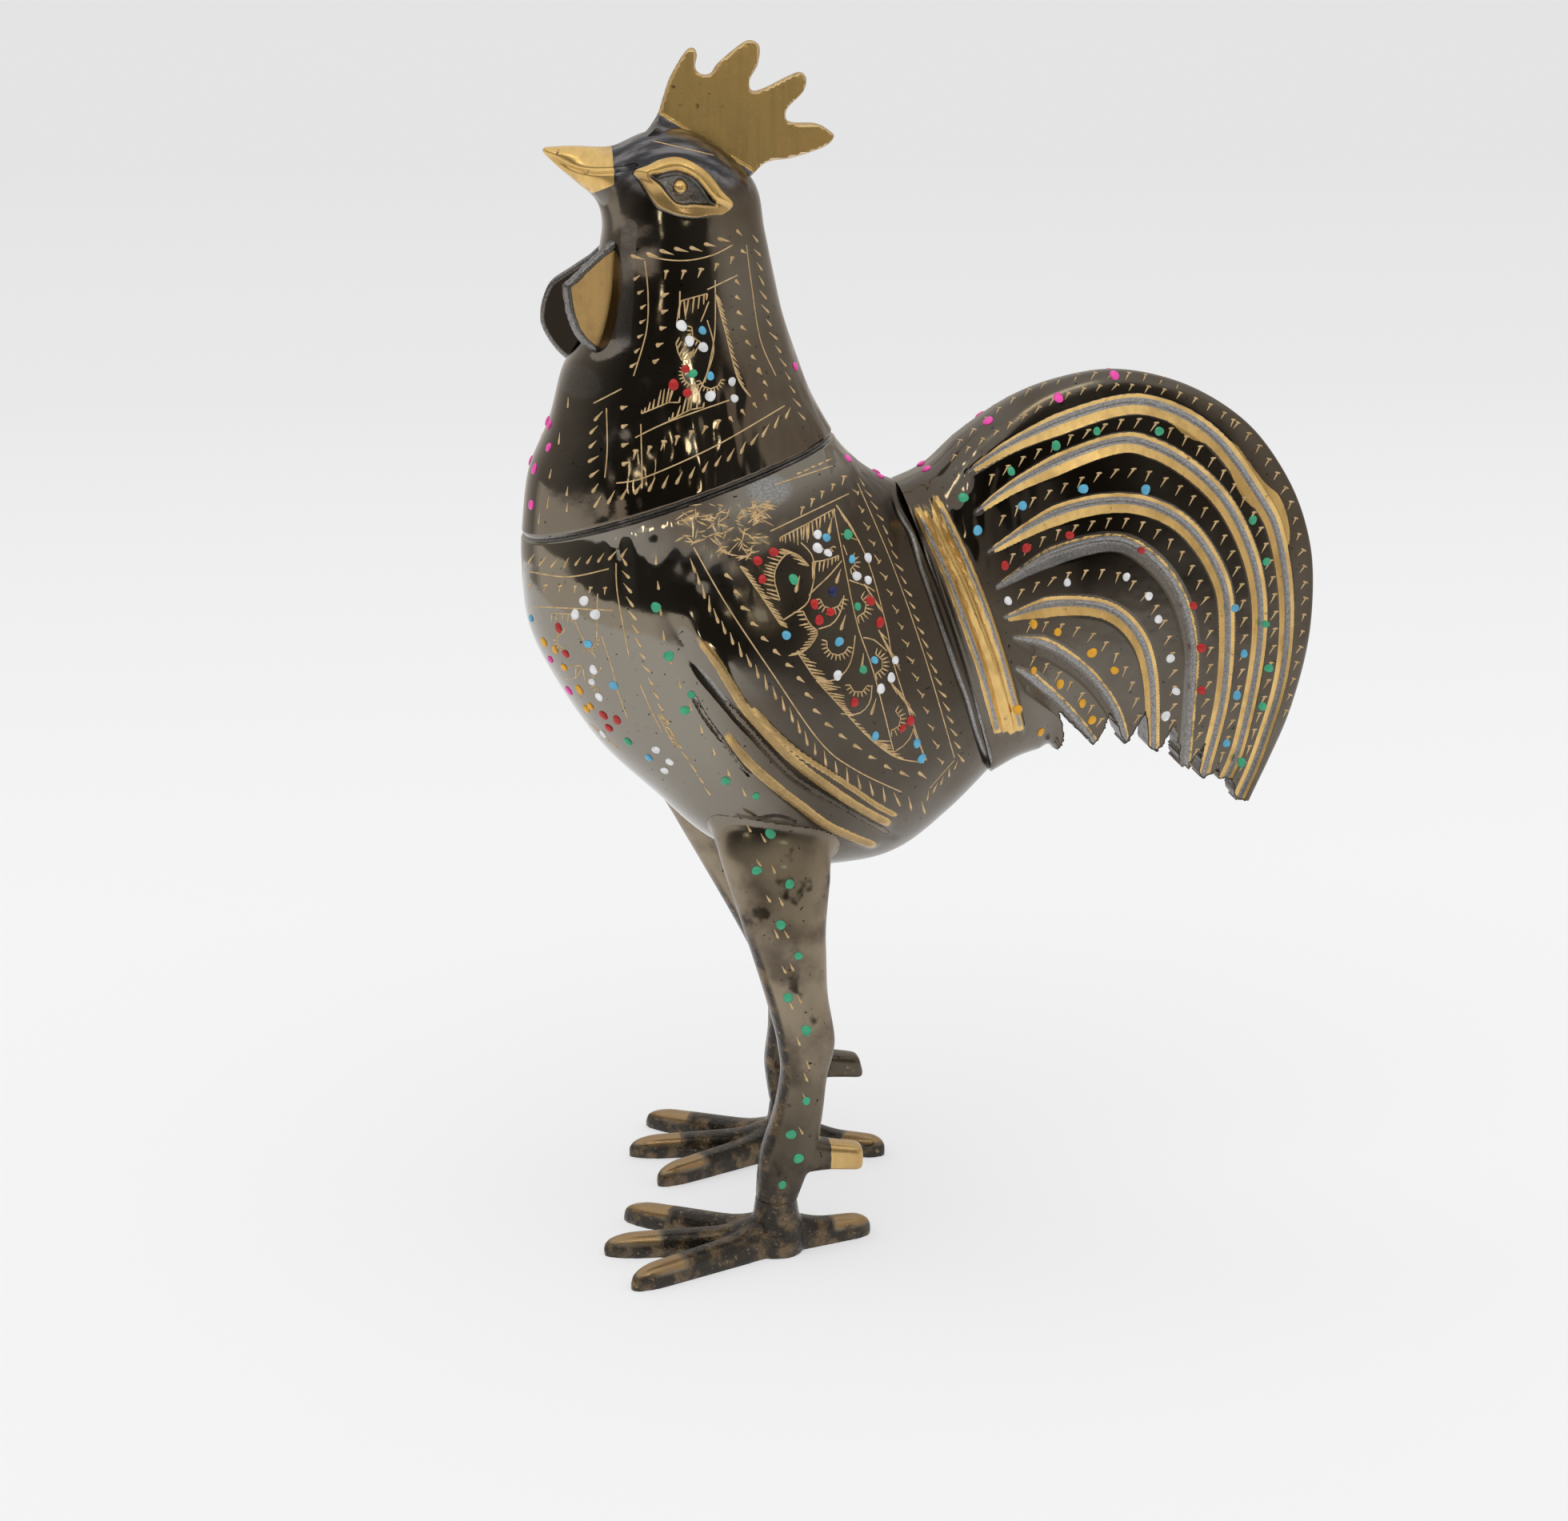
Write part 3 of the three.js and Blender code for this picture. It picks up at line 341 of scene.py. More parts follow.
# Engraving, in pixels of the photograph. Marks: kind, direction in degrees, length, width in millimetres,
# how many are set along the line, or 0 for one at each point. A mark runs from its thin to its thick end.
MARK_ROWS = (
    ("drop", 165, 17, 0.75, 7, ((797, 322), (855, 312), (873, 311), (905, 300))),
    ("tee", 80, 10, 0.75, 5, ((832, 344), (873, 342), (914, 326))),
    ("drop", 150, 9, 0.7, 0, ((930, 315), (924, 291))),
    ("drop", 215, 10, 0.65, 7, ((796, 347), (804, 382), (801, 417), (792, 456))),
    ("drop", 200, 9, 0.9, 5, ((832, 368), (829, 408), (820, 451))),
    ("drop", 140, 9, 0.75, 7, ((922, 353), (924, 388), (935, 428), (949, 465))),
    ("drop", 310, 13, 0.6, 14, ((944, 298), (951, 344), (958, 393), (978, 451), (1002, 520))),
    ("drop", 222, 15, 0.7, 6, ((748, 520), (741, 547), (744, 610))),
    ("drop", 200, 9, 0.9, 4, ((780, 509), (782, 579))),
    ("tee", 75, 11, 0.8, 7, ((793, 569), (846, 551), (897, 531))),
    ("drop", 120, 9, 0.75, 6, ((914, 524), (945, 506), (958, 495), (957, 479), (950, 464))),
    ("drop", 245, 17, 0.65, 16, ((747, 627), (814, 606), (850, 597), (918, 566), (957, 538), (985, 516))),
    ("drop", 265, 14, 0.6, 0,
     ((710, 503), (699, 548), (688, 592), (685, 628), (674, 648), (709, 614), (709, 634))),
    ("drop", 200, 9, 0.5, 5, ((1000, 591), (1036, 575))),
    ("tee", 70, 10, 0.7, 5, ((1002, 639), (1030, 617), (1054, 601))),
    ("tee", 318, 10, 0.6, 17, ((1069, 614), (1093, 689), (1119, 762), (1141, 837), (1159, 894), (1175, 950))),
    ("drop", 312, 13, 0.6, 23,
     ((1077, 602), (1102, 651), (1127, 718), (1150, 786), (1178, 868), (1201, 947))),
    ("drop", 283, 18, 0.6, 26,
     ((866, 707), (894, 768), (940, 831), (984, 886), (1017, 934), (1063, 971), (1109, 994), (1154, 1009))),
    ("drop", 150, 12, 0.8, 17,
     ((911, 721), (950, 791), (998, 845), (1027, 897), (1078, 938), (1122, 965), (1153, 969))),
    ("drop", 255, 13, 0.55, 5, ((1160, 994), (1176, 977), (1195, 956))),
    ("drop", 237, 14, 0.6, 9, ((664, 698), (700, 704), (745, 698), (780, 691))),
    ("tee", 80, 8, 0.6, 6, ((662, 735), (756, 739))),
    ("drop", 312, 15, 0.6, 19,
     ((780, 701), (787, 751), (799, 808), (817, 862), (842, 921), (865, 957), (884, 988))),
    ("drop", 300, 12, 0.55, 8, ((936, 1035), (966, 1147), (1007, 1346))),
    ("drop", 300, 12, 0.55, 10, ((954, 1047), (973, 1110), (990, 1210), (1010, 1307), (1001, 1413))),
    ("drop", 258, 22, 0.75, 0, ((1038, 657), (1048, 720), (1054, 778), (1078, 828), (1092, 883), (997, 730))),
    ("drop", 285, 12, 0.6, 11, ((820, 700), (832, 806), (861, 878), (893, 940), (930, 990))),
    ("tee", 60, 10, 0.55, 39, ((1191, 573), (1267, 529), (1328, 497), (1396, 484), (1487, 499), (1557, 544),
                               (1614, 638), (1629, 763), (1606, 892))),
    ("tee", 60, 10, 0.55, 19, ((1198, 555), (1265, 501), (1337, 473), (1437, 473), (1515, 499), (1540, 529))),
)
ENGRAVED_LINES = (
    ((810, 320), (836, 325), (864, 325), (893, 318), (916, 306)),
    ((806, 326), (810, 367), (808, 414), (792, 470)),
    ((933, 306), (939, 353), (950, 423), (970, 470)),
    ((884, 362), (922, 344)),
    ((850, 364), (849, 398)),
    ((894, 350), (893, 420), (881, 478)),
    ((884, 400), (892, 440), (874, 490)),
    ((886, 377), (881, 390), (876, 402)),
    ((794, 547), (836, 527), (912, 500)),
    ((758, 510), (759, 561), (756, 597)),
    ((742, 504), (777, 486)),
    ((801, 530), (803, 607)),
    ((770, 604), (808, 596), (893, 558), (981, 507)),
    ((968, 606), (1041, 582)),
    ((963, 664), (1061, 617)),
    ((1042, 636), (1053, 692), (1071, 778), (1093, 844), (1119, 947)),
    ((1001, 678), (1015, 694), (1018, 717), (1014, 739), (1007, 756), (979, 775)),
    ((1052, 701), (1037, 719), (1022, 733), (1011, 744)),
    ((1055, 744), (1051, 764), (1040, 780), (1023, 786)),
    ((1069, 794), (1066, 817), (1059, 836), (1043, 850), (1020, 850)),
    ((1090, 856), (1087, 878), (1073, 892), (1051, 892)),
    ((1045, 631), (1082, 694), (1107, 778), (1119, 836), (1157, 950)),
    ((1093, 928), (1121, 947), (1155, 953)),
    ((1119, 939), (1134, 928), (1141, 914)),
    ((1051, 667), (1071, 675)),
    ((1054, 681), (1059, 694)),
    ((1061, 725), (1084, 733), (1093, 739)),
    ((1079, 797), (1093, 800), (1109, 814)),
    ((1072, 604), (1116, 707), (1157, 824), (1193, 947)),
    ((867, 684), (907, 754), (963, 838), (1025, 927), (1069, 962), (1127, 990)),
    ((1162, 985), (1193, 950)),
    ((660, 714), (710, 721), (761, 711)),
    ((770, 704), (772, 743), (786, 819)),
    ((668, 758), (766, 763)),
    ((747, 742), (746, 800)),
    ((752, 795), (766, 838), (771, 860), (785, 900)),
    ((718, 775), (733, 806), (746, 822)),
    ((800, 855), (815, 890), (828, 915)),
    ((730, 905), (770, 935), (800, 950)),
    ((700, 845), (716, 850), (726, 838)),
    ((816, 176), (850, 184), (892, 194)),
)
# Hatching: direction, first and last length, spacing, path.
HATCHES = (
    (275, 5, 25, 4, ((975, 672), (1008, 655))),
    (275, 22, 6, 4, ((1008, 655), (1043, 636))),
    (340, 10, 13, 4.2, ((925, 708), (951, 744), (975, 780))),
    (350, 10, 22, 4.2, ((996, 814), (1018, 847))),
    (352, 26, 8, 4, ((1020, 850), (1053, 886))),
    (345, 8, 6, 4.5, ((1053, 886), (1075, 911), (1093, 928))),
    (350, 18, 8, 4, ((1093, 926), (1121, 947))),
    (165, 14, 14, 4.2, ((1011, 707), (998, 694), (984, 692), (971, 708), (968, 725), (975, 750))),
    (262, 20, 6, 4, ((1016, 702), (1033, 700), (1048, 694))),
    (190, 11, 11, 4, ((1004, 764), (1012, 780), (1022, 789), (1018, 800), (1009, 811), (998, 817))),
    (305, 20, 10, 4, ((1046, 632), (1060, 652), (1071, 672))),
    (305, 8, 12, 4, ((1080, 730), (1098, 757))),
    (308, 12, 20, 4, ((1098, 787), (1113, 818))),
    (308, 22, 14, 4, ((1113, 852), (1135, 882))),
    (300, 6, 5, 4.5, ((1141, 911), (1156, 947))),
    (265, 25, 9, 4.5, ((851, 376), (884, 367))),
    (310, 11, 11, 5, ((894, 368), (906, 412), (921, 470), (932, 488))),
    (80, 4, 30, 4.5, ((802, 517), (836, 503))),
    (80, 30, 8, 4.5, ((836, 503), (849, 503))),
    (80, 4, 32, 4.5, ((836, 526), (863, 512))),
    (80, 32, 6, 4.5, ((863, 512), (879, 509))),
    (60, 10, 16, 5, ((845, 430), (852, 450), (866, 445))),
    (270, 10, 10, 4.5, ((690, 766), (716, 768))),
    (275, 4, 22, 4.5, ((712, 832), (728, 832))),
    (330, 9, 9, 5, ((738, 905), (765, 930))),
    (330, 12, 8, 5, ((822, 892), (842, 930))),
)
# Fringed crescents: centre, radius, first and last direction, fringe.
CRESCENTS = (
    (1039, 747, 14, 188, 352, 8), (1047, 805, 14, 165, 345, 7), (1073, 855, 11, 185, 350, 6),
    (1033, 680, 9, 200, 340, 4), (1070, 758, 13, -80, 60, 9), (1061, 704, 8, -75, 60, 7),
    (1091, 830, 13, -75, 75, 8), (1113, 900, 13, -85, 60, 8), (868, 467, 15, 115, 285, 5),
    (888, 472, 14, 195, 350, 5), (878, 414, 14, 160, 260, 6), (708, 800, 12, 100, 260, 5),
    (752, 850, 12, 95, 255, 5), (735, 800, 11, 250, 360, 5),
)
# Rubbed scratches on the shoulder: middle and reach of the field, and how many.
SCRIBBLE_FIELDS = (((905, 655), (58, 24), 70), ((950, 640), (14, 14), 40), ((915, 690), (30, 8), 22))

# Enamel dots: colour and places in pixels.
DOTS = {
    "green": ((0.045, 0.40, 0.205), (
        (1371, 539), (1449, 539), (1320, 557), (1264, 589), (1204, 622), (1566, 650), (1583, 702),
        (1582, 780), (1586, 835), (1578, 883), (1552, 953), (1060, 668), (992, 724), (1072, 758),
        (1079, 837), (866, 467), (820, 759), (836, 820), (865, 868), (856, 888), (907, 976), (945, 995),
        (785, 927), (963, 1042), (946, 1088), (987, 1105), (976, 1156), (998, 1195), (985, 1247),
        (1008, 1288), (1008, 1376), (989, 1418), (998, 1448), (978, 1481),
    )),
    "blue": ((0.114, 0.456, 0.68), (
        (1354, 611), (1278, 632), (1222, 663), (1432, 612), (1544, 760), (1555, 817), (1546, 869),
        (1533, 929), (1033, 672), (1065, 699), (983, 794), (1049, 802), (1093, 825), (1094, 920),
        (1146, 929), (1152, 948), (878, 413), (888, 470), (664, 773), (735, 805), (767, 857), (811, 947),
    )),
    "red": ((0.5, 0.012, 0.012), (
        (1283, 685), (1256, 707), (1337, 669), (1427, 688), (1492, 757), (1502, 810), (1502, 863),
        (947, 701), (967, 690), (953, 724), (1018, 755), (1038, 765), (1024, 775), (1088, 751),
        (1100, 778), (1068, 878), (1138, 901), (1128, 910), (857, 461), (842, 481), (859, 491),
        (698, 785), (707, 817), (754, 894), (771, 900), (761, 910),
    )),
    "white": ((0.86, 0.86, 0.87), (
        (1260, 751), (1334, 728), (1408, 721), (1436, 745), (1448, 774), (1463, 823), (1470, 864),
        (1457, 895), (1022, 668), (1022, 685), (1035, 691), (1085, 697), (1071, 720), (1085, 725),
        (1119, 825), (1114, 847), (1047, 844), (1101, 861), (852, 407), (862, 426), (879, 434),
        (888, 495), (915, 477), (918, 498), (730, 751), (719, 768), (744, 768), (742, 837), (740, 852),
        (749, 871), (820, 937), (837, 952), (831, 963), (754, 917),
    )),
    "yellow": ((0.83, 0.40, 0.012), (
        (1292, 780), (1322, 790), (1365, 816), (1393, 838), (1292, 838), (1325, 855), (1353, 879),
        (1365, 900), (1272, 887), (1301, 915), (680, 803), (694, 812), (705, 834), (724, 862), (738, 883),
        (733, 886),
    )),
    "pink": ((1.0, 0.08, 0.48), (
        (1393, 469), (1323, 497), (1235, 526), (1158, 586), (686, 559), (664, 631), (687, 531),
        (668, 586), (994, 458), (1060, 573), (1100, 595), (688, 824), (711, 863),
    )),
    "dark_blue": ((0.01, 0.017, 0.09), (
        (1041, 739),
    )),
}
DOT_RADIUS = 0.86
# A dot's rings, from its sunk edge to its top: share of the radius and height.
DOT_DOME = ((1.0, -0.25), (1.02, 0.06), (0.93, 0.2), (0.72, 0.31), (0.4, 0.38), (0.12, 0.4))
# A stroke is left out where the surface falls away by more than this between two of its points.
LONGEST_STEP = 6.0
ENDS_AND_MIDDLE = (0.0, 0.5, 1.0)


def ease(low, high, value):
    share = np.clip((value - low) / (high - low), 0.0, 1.0)
    return share * share * (3.0 - 2.0 * share)


def fade(low, high, value):
    return 1 - ease(low, high, value)


def largest(*layers):
    return np.maximum.reduce(layers)


def distance_from(points, place, reach=1.0):
    """Distance of plane points from a place, as a share of a reach."""
    return np.linalg.norm((points - np.array(place)) / np.array(reach), axis=1)


def spline(points, positions):
    points = np.asarray(points, float)
    last = len(points) - 1
    first = np.clip(np.floor(positions).astype(int), 0, last - 1)
    share = (positions - first)[:, None]
    before = points[np.maximum(first - 1, 0)]
    start = points[first]
    end = points[first + 1]
    after = points[np.minimum(first + 2, last)]
    lead = (end - before) / 2
    trail = (after - start) / 2
    cubic = (2 * start - 2 * end + lead + trail) * share ** 3
    return cubic + (3 * end - 3 * start - 2 * lead - trail) * share ** 2 + lead * share + start


def smooth_line(points, count):
    return spline(points, np.linspace(0, len(points) - 1, count))


def smooth_ring(points, count):
    wrapped = list(points[-2:]) + list(points) + list(points[:2])
    return spline(wrapped, 2 + np.arange(count) * len(points) / count)


def reach_along(line):
    steps = np.linalg.norm(np.diff(np.asarray(line, float), axis=0), axis=1)
    return np.concatenate([[0.0], np.cumsum(steps)])


def places_at(line, reach, distances):
    return np.stack([np.interp(distances, reach, line[:, k]) for k in (0, 1)], axis=1)


def line_distance(points, line):
    """Distance of plane points to a polyline, share of the way along it, and 1 on its left or -1."""
    start = line[:-1]
    step = line[1:] - start
    lengths = np.linalg.norm(step, axis=1)
    reach = reach_along(line)
    best = np.full(len(points), FAR)
    place = np.zeros(len(points))
    side = np.ones(len(points))
    near = np.all((points > line.min(axis=0) - FAR) & (points < line.max(axis=0) + FAR), axis=1)
    if not near.all():
        best[near], place[near], side[near] = line_distance(points[near], line)
        return best, place, side
    for k in range(len(start)):
        offset = points - start[k]
        share = np.clip(offset @ step[k] / max(lengths[k] ** 2, 1e-9), 0.0, 1.0)
        gap = np.linalg.norm(offset - share[:, None] * step[k], axis=1)
        closer = gap < best
        best[closer] = gap[closer]
        place[closer] = (reach[k] + share[closer] * lengths[k]) / reach[-1]
        turn = step[k, 0] * offset[:, 1] - step[k, 1] * offset[:, 0]
        side[closer] = np.where(turn[closer] < 0, -1.0, 1.0)
    return best, place, side


def ring_distance(points, ring):
    """Distance of plane points to a closed outline, positive inside it."""
    gap, _, _ = line_distance(points, np.vstack([ring, ring[:1]]))
    inside = np.zeros(len(points), bool)
    ends = np.roll(ring, -1, axis=0)
    for (x0, z0), (x1, z1) in zip(ring, ends):
        if z0 != z1:
            crosses = (z0 > points[:, 1]) != (z1 > points[:, 1])
            at = x0 + (points[:, 1] - z0) / (z1 - z0) * (x1 - x0)
            inside ^= crosses & (points[:, 0] < at)
    return np.where(inside, gap, -gap)


# Lofted forms.
def ribs_between(ribs, start, end, count):
    table = np.array([list(rib) + [0.0] * (6 - len(rib)) for rib in ribs])
    return spline(table, np.linspace(start, end, count))


def rib_directions(ribs):
    step = ribs[:, 2:4] - ribs[:, 0:2]
    return step / np.linalg.norm(step, axis=1, keepdims=True)


def inset_ribs(ribs, inset):
    moved = ribs.copy()
    moved[:, 0:2] += rib_directions(ribs) * inset
    moved[:, 2:4] -= rib_directions(ribs) * inset
    moved[:, 4] -= inset
    return moved


def shift_ribs(ribs, distance):
    moved = ribs.copy()
    square = rib_directions(ribs)[:, ::-1] * np.array([-1.0, 1.0]) * distance
    moved[:, 0:2] += square
    moved[:, 2:4] += square
    return moved


def section_line(angles, fullness, egg):
    sine = np.sin(angles)
    along = (1 - np.cos(angles)) / 2
    return along, rounded(sine, fullness) * (1 + egg * np.cos(angles))


def even_angles(count, rib, fullness, egg):
    """Angles at which the points of a section lie evenly round it."""
    dense = np.linspace(0, 2 * math.pi, 20001)
    along, side = section_line(dense, fullness, egg)
    length = math.hypot(rib[2] - rib[0], rib[3] - rib[1])
    reach = reach_along(np.stack([along * length, side * rib[4]], axis=1))
    return np.interp(np.arange(count) / count * reach[-1], reach, dense)


def section_grid(ribs, angles, fullness=SHELL_FULLNESS, egg=SHELL_EGG):
    along, side = section_line(angles, fullness, egg)
    x = ribs[:, 0:1] + (ribs[:, 2:3] - ribs[:, 0:1]) * along
    y = ribs[:, 5:6] + ribs[:, 4:5] * side
    z = ribs[:, 1:2] + (ribs[:, 3:4] - ribs[:, 1:2]) * along
    return np.stack([x, y, z], axis=-1)


def level_rings(centre, profile, sides):
    """Rings round an upright axis: radius along x, radius along y and height of each."""
    x, y = centre
    angles = np.arange(sides) * 2 * math.pi / sides
    return np.array([
        np.stack([x + wide * np.cos(angles), y + deep * np.sin(angles), np.full(sides, z)], axis=1)
        for wide, deep, z in profile
    ])


def rounded(values, power):
    return np.sign(values) * np.abs(values) ** power


def grid_normals(grid):
    across = np.roll(grid, -1, axis=1) - np.roll(grid, 1, axis=1)
    down = np.gradient(grid, axis=0)
    normals = np.cross(across, down)
    normals /= np.maximum(np.linalg.norm(normals, axis=-1, keepdims=True), 1e-9)
    outward = grid - grid.mean(axis=1, keepdims=True)
    middle = len(grid) // 2
    sign = np.sign(np.sum(normals[middle] * outward[middle]))
    return normals * sign


def grid_faces(rows, sides):
    row, side = np.meshgrid(np.arange(rows - 1), np.arange(sides), indexing="ij")
    here = (row * sides + side).ravel()
    beside = (row * sides + (side + 1) % sides).ravel()
    return np.stack([here, beside, beside + sides, here + sides], axis=1).tolist()


def closed_skin(grid):
    """Points and faces of a skin over the rows of a grid, closed by a fan at each end."""
    rows, sides = grid.shape[:2]
    points = np.vstack([grid.reshape(-1, 3), grid[0].mean(axis=0), grid[-1].mean(axis=0)])
    faces = grid_faces(rows, sides)
    first = rows * sides
    last_row = (rows - 1) * sides
    for side in range(sides):
        beside = (side + 1) % sides
        faces.append([first, beside, side])
        faces.append([first + 1, last_row + side, last_row + beside])
    return points, faces


# Meshes.
def add_object(name, data):
    piece = bpy.data.objects.new(name, data)
    bpy.context.scene.collection.objects.link(piece)
    return piece


def make_piece(name, points, faces):
    """A smooth mesh of points in millimetres, with its faces turned outwards."""
    mesh = bpy.data.meshes.new(name)
    mesh.from_pydata((np.asarray(points) * MM).tolist(), [], faces)
    form = bmesh.new()
    form.from_mesh(mesh)
    bmesh.ops.recalc_face_normals(form, faces=form.faces)
    form.to_mesh(mesh)
    form.free()
    mesh.shade_smooth()
    return add_object(name, mesh)


def mesh_points(piece):
    flat = np.zeros(len(piece.data.vertices) * 3, np.float32)
    piece.data.vertices.foreach_get("co", flat)
    return flat.reshape(-1, 3).astype(float) / MM


def piece_form(piece):
    return mesh_points(piece), [list(polygon.vertices) for polygon in piece.data.polygons]


def move_points(piece, points):
    piece.data.vertices.foreach_set("co", (points * MM).astype(np.float32).ravel())
    piece.data.update()


def tint(piece, **layers):
    """Stores how much of each finish and of painted reflections and highlights a point of the surface shows.
    """
    for name, values in layers.items():
        layer = piece.data.attributes.new(name, "FLOAT", "POINT")
        layer.data.foreach_set("value", np.asarray(values, np.float32))


def apply_modifiers(piece):
    evaluated = piece.evaluated_get(bpy.context.evaluated_depsgraph_get())
    made = bpy.data.meshes.new_from_object(evaluated)
    piece.modifiers.clear()
    piece.data = made
    made.shade_smooth()


def cut_away(piece, cutter, operation="DIFFERENCE"):
    cut = piece.modifiers.new("cut", "BOOLEAN")
    cut.operation = operation
    cut.solver = "MANIFOLD"
    cut.object = cutter
    apply_modifiers(piece)
    bpy.data.objects.remove(cutter)


def soften(piece, rounds, group=""):
    smooth = piece.modifiers.new("soften", "SMOOTH")
    smooth.factor = 0.5
    smooth.iterations = rounds
    smooth.vertex_group = group
    apply_modifiers(piece)


def cast_together(piece, voxel, rounds):
    """Runs lofted forms into one casting with soft inner corners."""
    remesh = piece.modifiers.new("cast", "REMESH")
    remesh.mode = "VOXEL"
    remesh.voxel_size = voxel * MM
    soften(piece, rounds)


def join_forms(forms):
    points = []
    faces = []
    for form_points, form_faces in forms:
        base = sum(len(p) for p in points)
        points.append(np.asarray(form_points, float))
        faces += [[base + index for index in face] for face in form_faces]
    return np.vstack(points), faces


# The photograph's camera, and points of it on a surface.
def camera_axes():
    back = np.array([
        math.sin(AZIMUTH) * math.cos(ELEVATION),
        -math.cos(AZIMUTH) * math.cos(ELEVATION),
        math.sin(ELEVATION),
    ])
    right = np.array([math.cos(AZIMUTH), math.sin(AZIMUTH), 0.0])
    return right, np.cross(back, right), back


RIGHT, UP, BACK = camera_axes()
EYE_POINT = TARGET + BACK * DISTANCE


def sight_line(pixel):
    across = (pixel[0] - PHOTO_WIDTH / 2) / FOCAL_PIXELS
    rise = (PHOTO_HEIGHT / 2 - pixel[1]) / FOCAL_PIXELS
    direction = RIGHT * across + UP * rise - BACK
    return Vector(direction / np.linalg.norm(direction))


def tree_of(points, faces):
    return BVHTree.FromPolygons(np.asarray(points).tolist(), faces)


def side_point(tree, pixel):
    """Where the sight line of a pixel meets a surface, in side view, or None."""
    place = tree.ray_cast(Vector(EYE_POINT), sight_line(pixel))[0]
    return None if place is None else np.array(place)[[0, 2]]


def traced(tree, pixels, smooth=smooth_line, count=60):
    """A line or ring drawn over the photograph, as side-view points of the surface below it."""
    found = [side_point(tree, pixel) for pixel in smooth(pixels, count)]
    return np.array([place for place in found if place is not None])


def plain_tree(ribs, fullness):
    rows = ribs_between(ribs, 0, len(ribs) - 1, 8 * len(ribs))
    angles = even_angles(160, rows[len(rows) // 2], fullness, SHELL_EGG)
    return tree_of(*closed_skin(section_grid(rows, angles, fullness)))


# Relief. Each function gives the height over the plain form and the share of each finish, and of painted
# reflections and highlights.
def seam_distance(side_view):
    start = np.array(NECK_SEAM[0:2])
    along = np.array(NECK_SEAM[2:4]) - start
    along /= np.linalg.norm(along)
    offset = side_view - start
    return offset[:, 1] * along[0] - offset[:, 0] * along[1]


def seam_lip(side_view):
    away = np.abs(seam_distance(side_view))
    return -SEAM_DEPTH * fade(0.0, SEAM_WIDTH, away), fade(*SEAM_BARE, away)


def seam_dents(side_view, reach):
    away = np.abs(seam_distance(side_view))
    return fade(0.4 * reach, reach, away) * ease(*DENT_FRONT, side_view[:, 0])


def ridge(side_view, tree, pixels, height, width):
    """Height of a ridge or groove along a line, the distance from it and its taper at both ends."""
    gap, place, _ = line_distance(side_view, traced(tree, pixels))
    taper = ease(0.0, RIDGE_ENDS[0], place) * fade(RIDGE_ENDS[1], 1.0, place)
    return height * np.exp(-((gap / width) ** 2)) * taper, gap, taper


def root_groove(side_view, tree):
    """Height and bare metal of the groove between body and tail, and the distance from it."""
    rise, gap, taper = ridge(side_view, tree, TAIL_ROOT_GROOVE, -ROOT_GROOVE_DEPTH, ROOT_GROOVE_WIDTH)
    return rise, 0.9 * fade(0.25, 0.6, gap) * taper, gap


def wing_lines(side_view, tree):
    """Height, brass and bare metal of the ridges and flutes below the wing."""
    height, brass, bare = np.zeros((3, len(side_view)))
    for pixels, lift, width in zip(WING_RIDGES, RIDGE_HEIGHTS, RIDGE_WIDTHS):
        rise, gap, taper = ridge(side_view, tree, pixels, lift, width)
        height += rise
        brass = largest(brass, fade(0.55 * width, 1.3 * width, gap) * taper)
    for pixels, width in zip(WING_FLUTES, FLUTE_WIDTHS):
        rise, gap, taper = ridge(side_view, tree, pixels, -FLUTE_DEPTH, width)
        height += rise
        bare = largest(bare, 0.8 * fade(0.3 * width, width, gap) * taper)
    return height, brass, bare


def body_relief(points, tree):
    x, z = points[:, 0], points[:, 2]
    side_view = points[:, [0, 2]]
    wing = ring_distance(side_view, smooth_ring(WING_OUTLINE, 160))
    height, brass, bare = wing_lines(side_view, tree)
    height += WING_RELIEF * ease(*WING_EDGE, wing) * fade(*WING_END_X, x) * fade(*WING_END_Z, z)
    lip, lip_bare = seam_lip(side_view)
    root, root_bare, _ = root_groove(side_view, tree)
    # Painted highlight: a patch of light bare-metal colour on the shoulder, laid in the bare layer, stands in
    # for a bright reflection there.
    rubbed = distance_from(side_view, side_point(tree, SHOULDER_HIGHLIGHT), SHOULDER_HIGHLIGHT_REACH)
    crinkled = distance_from(side_view, side_point(tree, CRINKLED_PATCH))
    # Painted reflection: behind its edge the breast is lightened as if it mirrored the white table, less so
    # below z 104.
    behind_breast = (side_view - np.array(BREAST_REFLECTION_EDGE[:2])) @ np.array(BREAST_REFLECTION_EDGE[2:])
    breast = fade(-6.0, 5.0, behind_breast) * (0.45 + 0.55 * ease(78.0, 104.0, z))
    # Painted highlight: a lighter band on the shoulder just below the seam.
    shoulder = 0.8 * fade(3.0, 9.0, -seam_distance(side_view)) * ease(-46.0, -38.0, x)
    rear = ease(-42.0, -30.0, x + 0.25 * (z - 110.0)) * (1 - shoulder)
    # Painted reflection: low at the rear the lacquer is painted less dark, as if it mirrored the table.
    under_tail_reflection = fade(86.0, 98.0, z - 0.6 * x)
    return height + lip + root, {
        "brass": brass,
        "bare": largest(bare, lip_bare, root_bare, 0.68 * fade(0.3, 1.1, rubbed)),
        "painted_reflection": largest(breast, shoulder),
        "dent": largest(seam_dents(side_view, BODY_DENTS), fade(*CRINKLED_REACH, crinkled)),
        "cast": 0.5 * brass,
        "matt": WING_MATTNESS * rear,
        "dark": 0.73 * rear * (1 - 0.6 * under_tail_reflection),
        "copper": largest(0.3 * rear, 0.4 * brass),
    }


